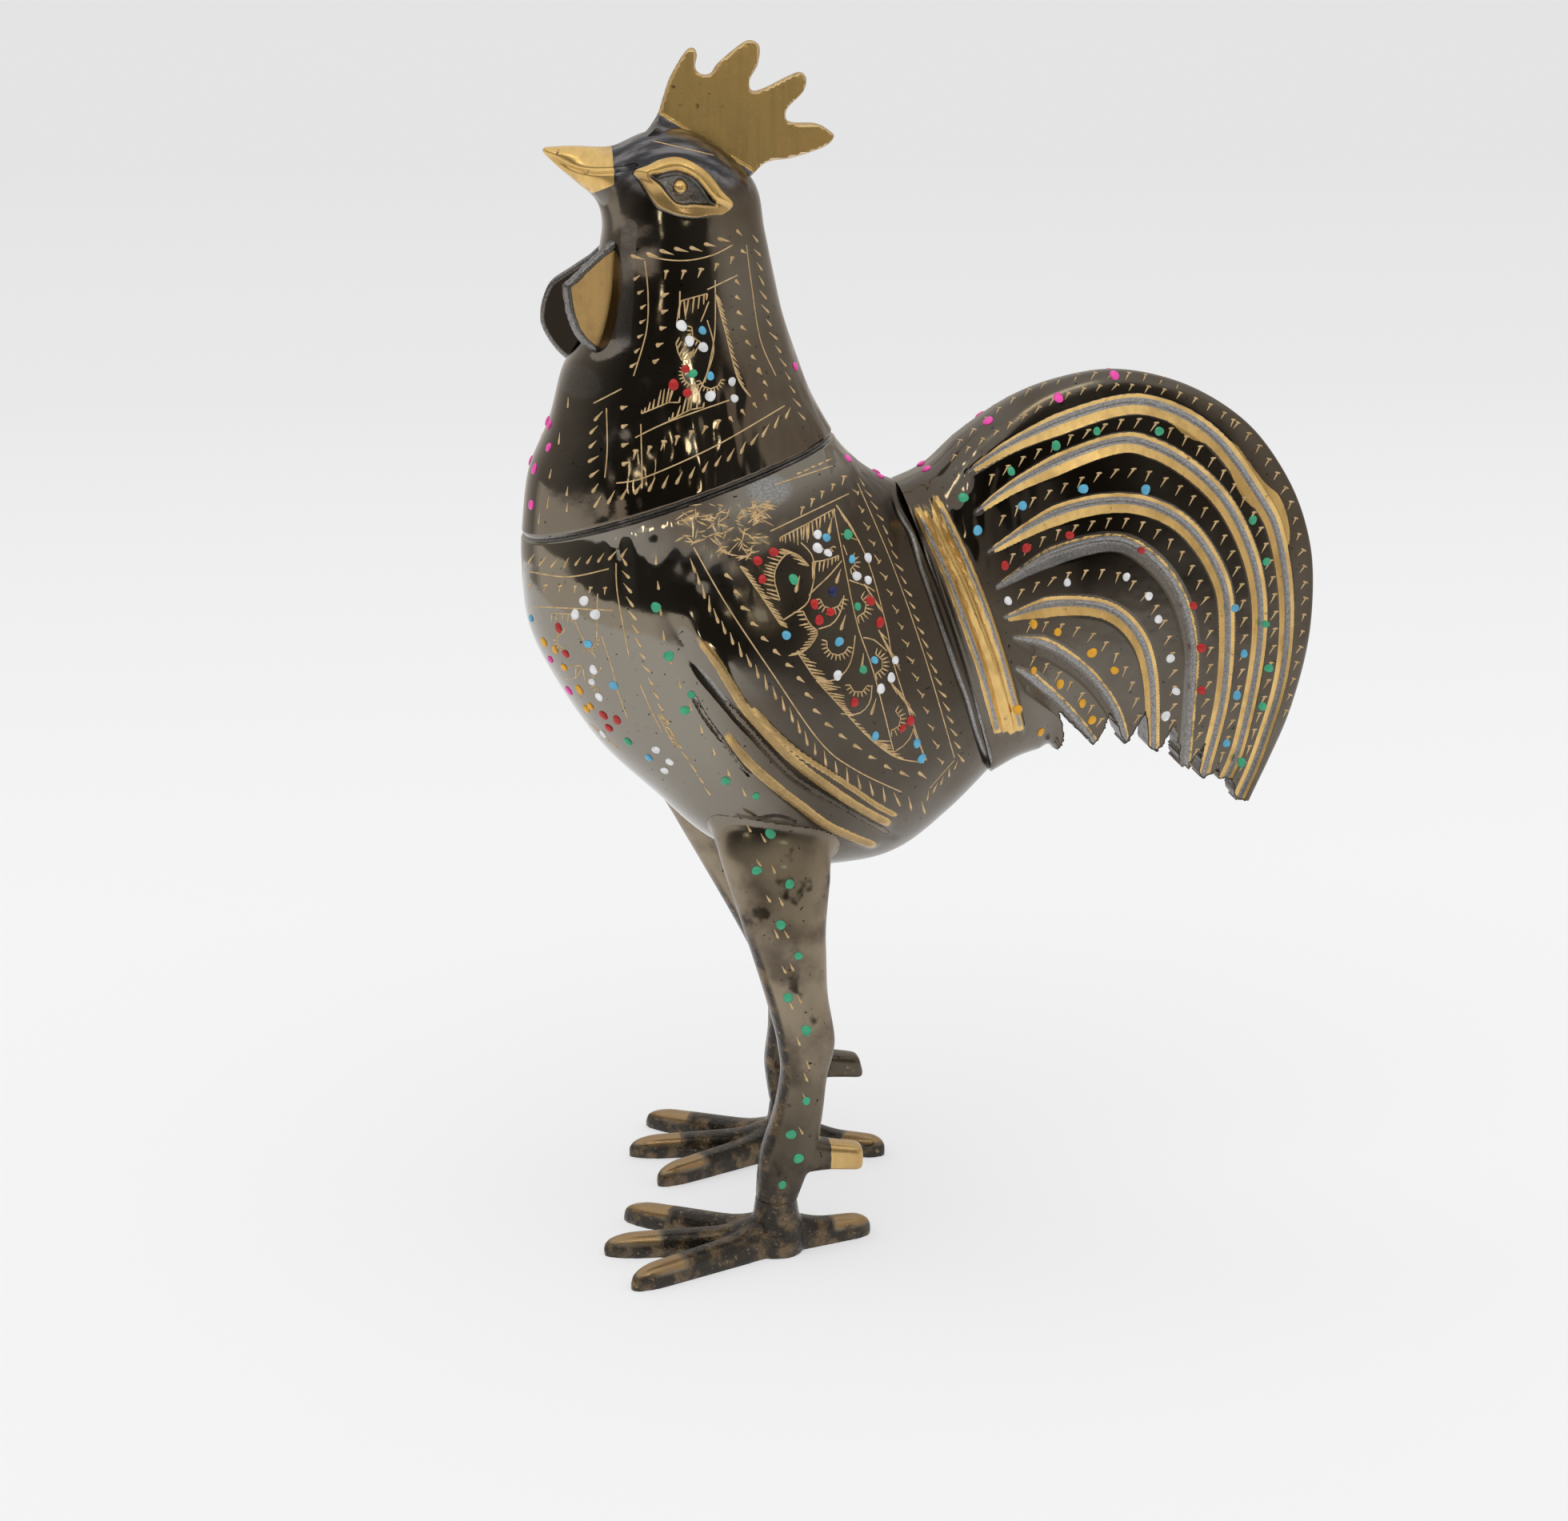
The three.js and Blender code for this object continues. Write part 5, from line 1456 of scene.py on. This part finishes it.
    def engrave(self):
        kinds = {"drop": self.drop, "tee": self.tee}
        for kind, direction, length, width, count, line in MARK_ROWS:
            for place in mark_places(count, line):
                lean = direction + random.normal(0, 6)
                kinds[kind](place, lean, length * random.uniform(0.85, 1.15), width)
        self.feather_marks()
        for line in ENGRAVED_LINES:
            self.line(line)
        for values in HATCHES:
            self.hatch(*values)
        for values in CRESCENTS:
            self.crescent(*values)
        for values in SCRIBBLE_FIELDS:
            self.scribble(*values)
        return self.forms

    def enamel_dots(self, pixels):
        for pixel in pixels:
            spot = self.pixel_spot(pixel)
            radius = DOT_RADIUS * random.uniform(0.85, 1.15)
            if spot is not None:
                self.keep(dot_form(spot[0], spot[1], radius), spot[2])
        return self.forms


def dot_form(place, normal, radius):
    """A drop of enamel, domed and not quite round."""
    helper = np.array([0.0, 0.0, 1.0]) if abs(normal[2]) < 0.8 else np.array([1.0, 0.0, 0.0])
    across = np.cross(normal, helper)
    across /= np.linalg.norm(across)
    upward = np.cross(normal, across)
    angles = np.arange(18) * 2 * math.pi / 18
    lean = random.uniform(0, 2 * math.pi)
    uneven = 1 + random.uniform(0.03, 0.12) * np.cos(2 * (angles - lean)) + 0.04 * np.cos(3 * angles + lean)
    spokes = np.cos(angles)[:, None] * across + np.sin(angles)[:, None] * upward
    spokes *= (radius * uneven)[:, None]
    return closed_skin(np.array([place + spokes * share + normal * height for share, height in DOT_DOME]))


# Finishes.
LACQUER = (0.210, 0.187, 0.155, 1.0)
LACQUER_BROWN = (0.140, 0.110, 0.080, 1.0)
# Painted reflection: the lighter lacquer laid where the table or a lamp is mirrored.
LACQUER_PAINTED_REFLECTION = (0.282, 0.255, 0.210, 1.0)
LACQUER_DARK = (0.056, 0.042, 0.028, 1.0)
LACQUER_DULL = (0.345, 0.282, 0.200, 1.0)
LACQUER_SMUDGE = (0.155, 0.120, 0.086, 1.0)
LACQUER_BLACK = (0.024, 0.018, 0.013, 1.0)
BRUSHED_DARK = (0.050, 0.048, 0.051, 1.0)
BRUSHED_PALE = (0.245, 0.232, 0.238, 1.0)
PIT = (0.030, 0.025, 0.020, 1.0)
BRASS = (0.84, 0.56, 0.20, 1.0)
BRASS_DULL = (0.62, 0.395, 0.135, 1.0)
BRASS_DIRT = (0.14, 0.09, 0.04, 1.0)
COPPER_WORN = (0.38, 0.245, 0.115, 1.0)
BARE_METAL = (0.40, 0.395, 0.39, 1.0)
BARE_DARK = (0.23, 0.22, 0.21, 1.0)
CAST_SKIN = (0.050, 0.043, 0.036, 1.0)
CAST_BROWN = (0.185, 0.132, 0.078, 1.0)
CAST_SPECK = (0.30, 0.21, 0.115, 1.0)
CUT_BRIGHT = (0.74, 0.53, 0.28, 1.0)
CUT_DULL = (0.52, 0.35, 0.16, 1.0)
ROUGH_LACQUER = (0.05, 0.15)
ROUGH_MATT = 0.42
ROUGH_BRUSHED = 0.30
ROUGH_DULL = (0.46, 0.58)
ROUGH_BRASS = (0.26, 0.36)
ROUGH_BARE = 0.36
ROUGH_CAST = 0.36
NOISE_ROUGHNESS = 0.55
# How noises are stretched along x, y and z: a small number draws them out.
CROWN_STROKES = (0.12, 1.0, 0.6)
FILE_STREAKS = (1.0, 1.0, 0.08)
DENT_STRETCH = (1.0, 1.0, 0.35)
# Sockets of a mix of colours or of numbers: first, second and result.
MIX_SOCKETS = {"RGBA": (6, 7, 2), "FLOAT": (2, 3, 0)}


class Nodes:
    """A node tree and short ways to add and join its nodes."""

    def __init__(self, tree):
        self.tree = tree

    def fill(self, node, sockets):
        """Gives each socket a value or the output of another node."""
        for name, value in sockets.items():
            if isinstance(value, bpy.types.NodeSocket):
                self.tree.links.new(value, node.inputs[name])
            else:
                node.inputs[name].default_value = value
        return node

    def add(self, kind, sockets, **settings):
        node = self.tree.nodes.new(kind)
        for name, value in settings.items():
            setattr(node, name, value)
        return self.fill(node, sockets)

    def seen_directly(self):
        """One for rays from the camera and for those in reflections, none for light."""
        path = self.add("ShaderNodeLightPath", {})
        seen = path.outputs["Is Camera Ray"]
        for name in ("Is Glossy Ray", "Is Transmission Ray"):
            either = self.add("ShaderNodeMath", {0: seen, 1: path.outputs[name]}, operation="MAXIMUM")
            seen = either.outputs[0]
        return seen

    def show(self, output, shader):
        self.fill(self.tree.nodes[output], {"Surface": shader.outputs[0]})

    def show_mixed(self, output, share, first, second):
        sockets = {0: share, 1: first.outputs[0], 2: second.outputs[0]}
        self.show(output, self.add("ShaderNodeMixShader", sockets))


class Finish(Nodes):
    """A material, and the layers and noises that its look is mixed from."""

    def __init__(self, name):
        self.material = bpy.data.materials.new(name)
        self.material.use_nodes = True
        super().__init__(self.material.node_tree)
        self.shader = self.tree.nodes["Principled BSDF"]
        self.place = self.add("ShaderNodeTexCoord", {}).outputs["Object"]

    def surface(self, sockets):
        self.fill(self.shader, sockets)
        return self.material

    def layer(self, name):
        return self.add("ShaderNodeAttribute", {}, attribute_name=name).outputs["Fac"]

    def noise(self, scale, detail, stretch=None):
        place = self.place
        if stretch:
            place = self.add("ShaderNodeMapping", {"Vector": place, "Scale": stretch}).outputs["Vector"]
        sockets = {"Vector": place, "Scale": scale, "Detail": detail, "Roughness": NOISE_ROUGHNESS}
        return self.add("ShaderNodeTexNoise", sockets).outputs["Fac"]

    def spread(self, value, low, high, start=0.0, end=1.0):
        sockets = {"Value": value, "From Min": low, "From Max": high, "To Min": start, "To Max": end}
        return self.add("ShaderNodeMapRange", sockets, interpolation_type="SMOOTHSTEP").outputs["Result"]

    def range(self, value, start, end):
        return self.spread(value, 0.0, 1.0, start, end)

    def patches(self, scale, detail, low, high, stretch=None):
        return self.spread(self.noise(scale, detail, stretch), low, high)

    def blend(self, share, first, second, kind="RGBA"):
        one, other, result = MIX_SOCKETS[kind]
        sockets = {"Factor": share, one: first, other: second}
        return self.add("ShaderNodeMix", sockets, data_type=kind).outputs[result]

    def mix(self, share, first, second):
        return self.blend(share, first, second, "FLOAT")

    def ragged(self, layer, noise):
        """A layer whose edge frays with a noise."""
        frayed = self.add("ShaderNodeMath", {0: noise, 1: 0.5, 2: layer}, operation="MULTIPLY_ADD")
        return self.spread(frayed.outputs[0], 0.66, 0.84)

    def bump(self, height, strength, distance, below=None):
        sockets = {"Height": height, "Strength": strength, "Distance": distance}
        if below:
            sockets["Normal"] = below
        return self.add("ShaderNodeBump", sockets).outputs["Normal"]


def lacquer_colour(finish, dull):
    """Grey-brown, darker behind, lightened by painted reflections and highlights on the breast, shoulder and
    front of the neck, mottled on the legs.
    """
    lacquer = finish.blend(finish.patches(38.0, 4.0, 0.38, 0.68), LACQUER, LACQUER_BROWN)
    # Painted reflections and highlights lighten the lacquer.
    lacquer = finish.blend(finish.layer("painted_reflection"), lacquer, LACQUER_PAINTED_REFLECTION)
    lacquer = finish.blend(finish.layer("dark"), lacquer, LACQUER_DARK)
    mottled = finish.blend(finish.patches(85.0, 5.0, 0.42, 0.66), LACQUER_DULL, LACQUER_SMUDGE)
    mottled = finish.blend(finish.patches(130.0, 3.0, 0.60, 0.68), mottled, LACQUER_DARK)
    lacquer = finish.blend(dull, lacquer, mottled)
    lacquer = finish.blend(finish.patches(900.0, 2.0, 0.68, 0.75), lacquer, PIT)
    strokes = finish.patches(650.0, 3.0, 0.40, 0.72, CROWN_STROKES)
    brushed = finish.blend(strokes, BRUSHED_DARK, BRUSHED_PALE)
    lacquer = finish.blend(finish.layer("brushed"), lacquer, brushed)
    return finish.blend(finish.layer("black"), lacquer, LACQUER_BLACK)


def brass_colour(finish, patina):
    brass = finish.blend(patina, BRASS, BRASS_DULL)
    streaks = finish.spread(finish.noise(900.0, 2.0, FILE_STREAKS), 0.4, 0.8, 0.0, 0.6)
    brass = finish.blend(streaks, brass, BRASS_DULL)
    brass = finish.blend(finish.patches(620.0, 4.0, 0.64, 0.78), brass, BRASS_DIRT)
    return finish.blend(finish.layer("copper"), brass, COPPER_WORN)


def metal_waves(finish, rough_cast):
    """Slow waves of the hand-finished surface, dents beside the seam, lumps and grit where it is as cast."""
    waves = finish.bump(finish.noise(55.0, 1.0), 0.22, 0.001)
    waves = finish.bump(finish.noise(130.0, 2.0), 0.18, 0.0006, waves)
    dents = finish.range(finish.layer("dent"), 0.0, 0.9)
    waves = finish.bump(finish.noise(230.0, 1.0, DENT_STRETCH), dents, 0.0011, waves)
    waves = finish.bump(finish.noise(380.0, 3.0), finish.range(rough_cast, 0.0, 0.6), 0.0008, waves)
    return finish.bump(finish.noise(1400.0, 4.0), finish.range(rough_cast, 0.02, 0.7), 0.0003, waves)


def cast_metal(name):
    """Dark lacquer over cast brass, rubbed through where the layers say so, and lightened by the painted
    reflections and highlights that they carry.
    """
    finish = Finish(name)
    dull = finish.layer("dull")
    patina = finish.patches(160.0, 5.0, 0.42, 0.7)
    worn = finish.ragged(finish.layer("brass"), finish.noise(800.0, 4.0))
    bare = finish.spread(finish.layer("bare"), 0.3, 0.8)
    rough_cast = finish.spread(finish.layer("cast"), 0.2, 0.9)
    colour = finish.blend(worn, lacquer_colour(finish, dull), brass_colour(finish, patina))
    grain = finish.blend(finish.patches(2600.0, 2.0, 0.3, 0.7), BARE_METAL, BARE_DARK)
    colour = finish.blend(bare, colour, grain)
    skin = finish.blend(finish.patches(260.0, 4.0, 0.46, 0.66), CAST_SKIN, CAST_BROWN)
    skin = finish.blend(finish.patches(900.0, 4.0, 0.60, 0.72), skin, CAST_SPECK)
    rough = finish.spread(finish.noise(70.0, 5.0), 0.3, 0.75, *ROUGH_LACQUER)
    for share, roughness in (
        (finish.layer("matt"), ROUGH_MATT),
        (finish.layer("brushed"), ROUGH_BRUSHED),
        (dull, finish.range(patina, *ROUGH_DULL)),
        (worn, finish.range(patina, *ROUGH_BRASS)),
        (bare, ROUGH_BARE),
        (rough_cast, ROUGH_CAST),
    ):
        rough = finish.mix(share, rough, roughness)
    return finish.surface({
        "Base Color": finish.blend(rough_cast, colour, skin),
        "Roughness": rough,
        "Metallic": finish.mix(worn, 1.0, 0.8),
        "Normal": metal_waves(finish, rough_cast),
        "Coat Weight": 0.25,
        "Coat Roughness": 0.06,
    })


def plain_brass(name):
    finish = Finish(name)
    return finish.surface({
        "Base Color": finish.blend(finish.patches(220.0, 5.0, 0.4, 0.72), BRASS, BRASS_DULL),
        "Roughness": finish.spread(finish.noise(600.0, 3.0), 0.3, 0.7, 0.28, 0.48),
        "Normal": finish.bump(finish.noise(1500.0, 3.0), 0.15, 0.0002),
        "Metallic": 1.0,
    })


def engraved_brass(name):
    finish = Finish(name)
    shade = finish.patches(700.0, 3.0, 0.35, 0.7)
    return finish.surface({
        "Base Color": finish.blend(shade, CUT_BRIGHT, CUT_DULL),
        "Roughness": finish.range(shade, 0.38, 0.55),
        "Metallic": 0.45,
    })


def enamel(name, colour):
    finish = Finish(name)
    shade = finish.patches(500.0, 3.0, 0.3, 0.75)
    dark = tuple(0.72 * part for part in colour) + (1.0,)
    return finish.surface({
        "Base Color": finish.blend(shade, colour + (1.0,), dark),
        "Roughness": finish.range(shade, 0.28, 0.42),
        "Normal": finish.bump(finish.noise(900.0, 2.0), 0.12, 0.0003),
    })


# The room's brightness by direction in plan, in degrees from +X, and its section as radius and height.
# Its lowest rings show the table, which is light where it lies in front of the bird.
ROOM_GLOW = ((0, 0.5), (40, 0.55), (90, 0.6), (140, 0.28), (180, 0.20), (215, 0.09), (240, 0.04), (262, 0.04),
             (280, 0.045), (310, 0.085), (316, 0.5), (325, 0.6), (360, 0.5))
TABLE_GLOW = ((0, 0.0), (130, 0.0), (150, 0.8), (246, 0.8), (262, 0.0), (360, 0.0))
TABLE_RINGS = 4
ROOM_CENTRE = (-140.0, 0.0)
ROOM_PROFILE = ((600.0, 1.0), (720.0, 20.0), (900.0, 120.0), (912.0, 183.0), (913.0, 188.0), (950.0, 700.0))
ROOM_COLOUR = (1.0, 0.93, 0.84, 1.0)
# Small square lamps: place in metres and size in millimetres.
LAMP_CARDS = {
    "lamp_left": ((-0.40, -0.48, 0.68), 75.0),
    "lamp_middle": ((-0.16, -0.60, 0.74), 75.0),
    "lamp_right": ((0.12, -0.58, 0.70), 75.0),
    "lamp_low": ((0.13, -0.74, 0.35), 60.0),
    "lamp_side": ((-0.24, -0.68, 0.26), 32.0),
}
LAMP_AIM = (-0.04, 0.0, 0.13)
LAMP_COLOUR = (1.0, 0.93, 0.70, 1.0)
LAMP_GLOW = 8.0
BACKDROP = (0.775, 0.775, 0.78, 1.0)
SKY = (1.0, 1.0, 1.0, 1.0)
SKY_GLOW = 0.68
SUN_STRENGTH = 1.15
SUN_TILT = math.radians(14.0)
SUN_TURN = math.radians(-35.0)
SUN_SPREAD = math.radians(90.0)
# Painted shade: the floor greys from near to far, as its light falls off behind the bird.
FLOOR_NEAR = (0.90, 0.90, 0.905, 1.0)
FLOOR_MIDDLE = (0.80, 0.80, 0.805, 1.0)
FLOOR_FAR = (0.765, 0.765, 0.77, 1.0)
FLOOR_START = 0.2
FLOOR_END = 2.6
FLOOR_TURN = 0.38
FLOOR_GLOW = 0.5
FLOOR_RADIUS = 6000.0
FLOOR_HEIGHT = -0.05


# Stage: floor, soft lamps, the dim room round the table and the camera.
def glowing(name, colour, strength):
    """A material that only glows, evenly or by a layer of its mesh."""
    finish = Finish(name)
    finish.tree.nodes.remove(finish.shader)
    if isinstance(strength, str):
        strength = finish.layer(strength)
    finish.show("Material Output", finish.add("ShaderNodeEmission", {"Color": colour, "Strength": strength}))
    return finish.material


def floor_material():
    """White paper, with painted shade that greys it behind. Half of what is seen is its own glow, so that its
    shadows stay light.
    """
    finish = Finish("floor")
    split = finish.add("ShaderNodeSeparateXYZ", {0: finish.place})
    sockets = {"Value": split.outputs["Y"], "From Min": FLOOR_START, "From Max": FLOOR_END}
    depth = finish.add("ShaderNodeMapRange", sockets)
    shades = finish.add("ShaderNodeValToRGB", {"Fac": depth.outputs["Result"]})
    stops = shades.color_ramp.elements
    stops[0].color = FLOOR_NEAR
    stops[1].color = FLOOR_FAR
    stops.new(FLOOR_TURN).color = FLOOR_MIDDLE
    colour = shades.outputs["Color"]
    finish.surface({"Base Color": colour, "Roughness": 0.9, "Specular IOR Level": 0.0})
    glow = finish.add("ShaderNodeEmission", {"Color": colour})
    half = finish.add("ShaderNodeMath", {0: finish.seen_directly(), 1: FLOOR_GLOW}, operation="MULTIPLY")
    finish.show_mixed("Material Output", half.outputs[0], finish.shader, glow)
    return finish.material


def build_floor():
    ring = level_rings((0.0, 0.0), [(FLOOR_RADIUS, FLOOR_RADIUS, FLOOR_HEIGHT)], 96)[0]
    floor = make_piece("floor", ring, [list(range(len(ring)))])
    floor.data.materials.append(floor_material())
    return floor


def only_reflected(piece, material):
    piece.data.materials.append(material)
    for ray in ("camera", "diffuse", "shadow", "transmission"):
        setattr(piece, "visible_" + ray, False)


def wall_glow(sides):
    """Brightness of the room: dark on the camera's side, lighter behind the bird and on the table."""
    turn = np.arange(sides) * 360.0 / sides
    wall = np.interp(turn, *zip(*ROOM_GLOW))
    table = np.maximum(wall, np.interp(turn, *zip(*TABLE_GLOW)))
    return np.concatenate([np.tile(table, TABLE_RINGS), np.tile(wall, len(ROOM_PROFILE) - TABLE_RINGS)])


def room_walls():
    """A dim room round the table, which only reflections show."""
    grid = level_rings(ROOM_CENTRE, [(radius, radius, z) for radius, z in ROOM_PROFILE], 180)
    walls = make_piece("room_walls", grid.reshape(-1, 3), grid_faces(*grid.shape[:2]))
    tint(walls, glow=wall_glow(grid.shape[1]))
    only_reflected(walls, glowing("room", ROOM_COLOUR, "glow"))
    return walls


def light_card(name, place, size):
    """A lamp that only reflections show."""
    half = size / 2
    corners = [(-half, -half, 0), (half, -half, 0), (half, half, 0), (-half, half, 0)]
    card = make_piece(name, corners, [[0, 1, 2, 3]])
    card.location = place
    card.rotation_mode = "QUATERNION"
    card.rotation_quaternion = (Vector(LAMP_AIM) - Vector(place)).to_track_quat("Z", "Y")
    only_reflected(card, glowing(name, LAMP_COLOUR, LAMP_GLOW))
    return card


def build_world():
    world = bpy.data.worlds.new("studio")
    bpy.context.scene.world = world
    world.use_nodes = True
    nodes = Nodes(world.node_tree)
    fill = nodes.fill(nodes.tree.nodes["Background"], {"Color": SKY, "Strength": SKY_GLOW})
    seen = nodes.add("ShaderNodeBackground", {"Color": BACKDROP})
    nodes.show_mixed("World Output", nodes.seen_directly(), fill, seen)


def add_sun():
    """Even daylight over floor and bird, which reflections don't show as a disc."""
    lamp = bpy.data.lights.new("daylight", "SUN")
    lamp.energy = SUN_STRENGTH
    lamp.angle = SUN_SPREAD
    holder = add_object("daylight", lamp)
    holder.rotation_euler = (SUN_TILT, 0.0, SUN_TURN)
    holder.visible_glossy = False


def add_camera():
    camera = bpy.data.cameras.new("camera")
    camera.sensor_fit = "HORIZONTAL"
    camera.sensor_width = SENSOR_WIDTH
    camera.lens = FOCAL_PIXELS / PHOTO_WIDTH * SENSOR_WIDTH
    camera.clip_start = 0.01
    holder = add_object("camera", camera)
    holder.location = EYE_POINT * MM
    holder.rotation_mode = "QUATERNION"
    holder.rotation_quaternion = Vector(-BACK).to_track_quat("-Z", "Y")
    bpy.context.scene.camera = holder


def finish_piece(piece, material, body, slot, *nodes):
    piece.data.materials.clear()
    piece.data.materials.append(material)
    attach(piece, body)
    if nodes:
        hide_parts(*nodes)


bpy.context.scene.view_settings.view_transform = "Standard"
add_camera()

relief_tree = plain_tree(BODY_RIBS, SHELL_FULLNESS)
body, body_form = build_body(relief_tree)
bosses = add_bosses(body)
neck, neck_form = build_neck()
tail = build_tail()
body_tree = tree_of(*body_form)
left_leg = build_leg("left_leg_casting", -1, body_form, body_tree, relief_tree)
right_leg = build_leg("right_leg_casting", 1, body_form, body_tree, relief_tree)
left_foot = build_foot("left_foot_casting", -1, (ANKLE_X, -ANKLE_Y), *LEFT_FOOT_TURNS)
right_ankle = ANKLE_X + RIGHT_LEG_RAKE * (HIP_HEIGHT - LEG_RIBS[0][1])
right_foot = build_foot("right_foot_casting", 1, (right_ankle, ANKLE_Y), *RIGHT_FOOT_TURNS)
comb = build_comb(neck_form)
left_wattle = build_wattle("left_wattle_plate", LEFT_WATTLE, -1, neck_form)
right_wattle = build_wattle("right_wattle_plate", RIGHT_WATTLE, 1, neck_form)

surfaces = {name: piece_tree(piece) for name, piece in (
    ("body", body), ("neck", neck), ("tail", tail), ("left_leg", left_leg), ("right_leg", right_leg),
    ("left_foot", left_foot), ("left_wattle", left_wattle),
)}
tooling = engraved_brass("engraved_brass")
for where, forms in Ornament(surfaces).engrave().items():
    finish_piece(make_piece("engraving_" + where, *join_forms(forms)), tooling, where, "polished_brass")
for colour_name, (colour, pixels) in DOTS.items():
    material = enamel("enamel_" + colour_name, colour)
    for where, forms in Ornament(surfaces).enamel_dots(pixels).items():
        if forms:
            dots = make_piece("dots_" + colour_name + "_" + where, *join_forms(forms))
            finish_piece(dots, material, where, None)

casting = cast_metal("lacquered_brass")
brass_finish = plain_brass("turned_brass")
for piece, where, slot, *nodes in (
    (body, "body", "dark_lacquer", "body_shell"),
    (bosses, "body", "dark_lacquer"),
    (neck, "head", "dark_lacquer", "head_neck_shell"),
    (tail, "body", "dark_lacquer", "tail"),
    (left_leg, "body", "dark_lacquer", "left_leg"),
    (right_leg, "body", "dark_lacquer", "right_leg"),
    (left_foot, "body", "dark_lacquer", "left_foot"),
    (right_foot, "body", "dark_lacquer", "right_foot"),
    (comb, "head", "polished_brass", "comb"),
    (left_wattle, "head", "polished_brass", "left_wattle"),
    (right_wattle, "head", "polished_brass", "right_wattle"),
):
    finish_piece(piece, casting, where, slot, *nodes)
for node in ("neck_collar", "left_leg_washer", "right_leg_washer", "left_leg_nut", "right_leg_nut"):
    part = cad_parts[node]
    part.data.materials.clear()
    part.data.materials.append(brass_finish)

build_floor()
room_walls()
build_world()
add_sun()
for name, (place, size) in LAMP_CARDS.items():
    light_card(name, place, size)
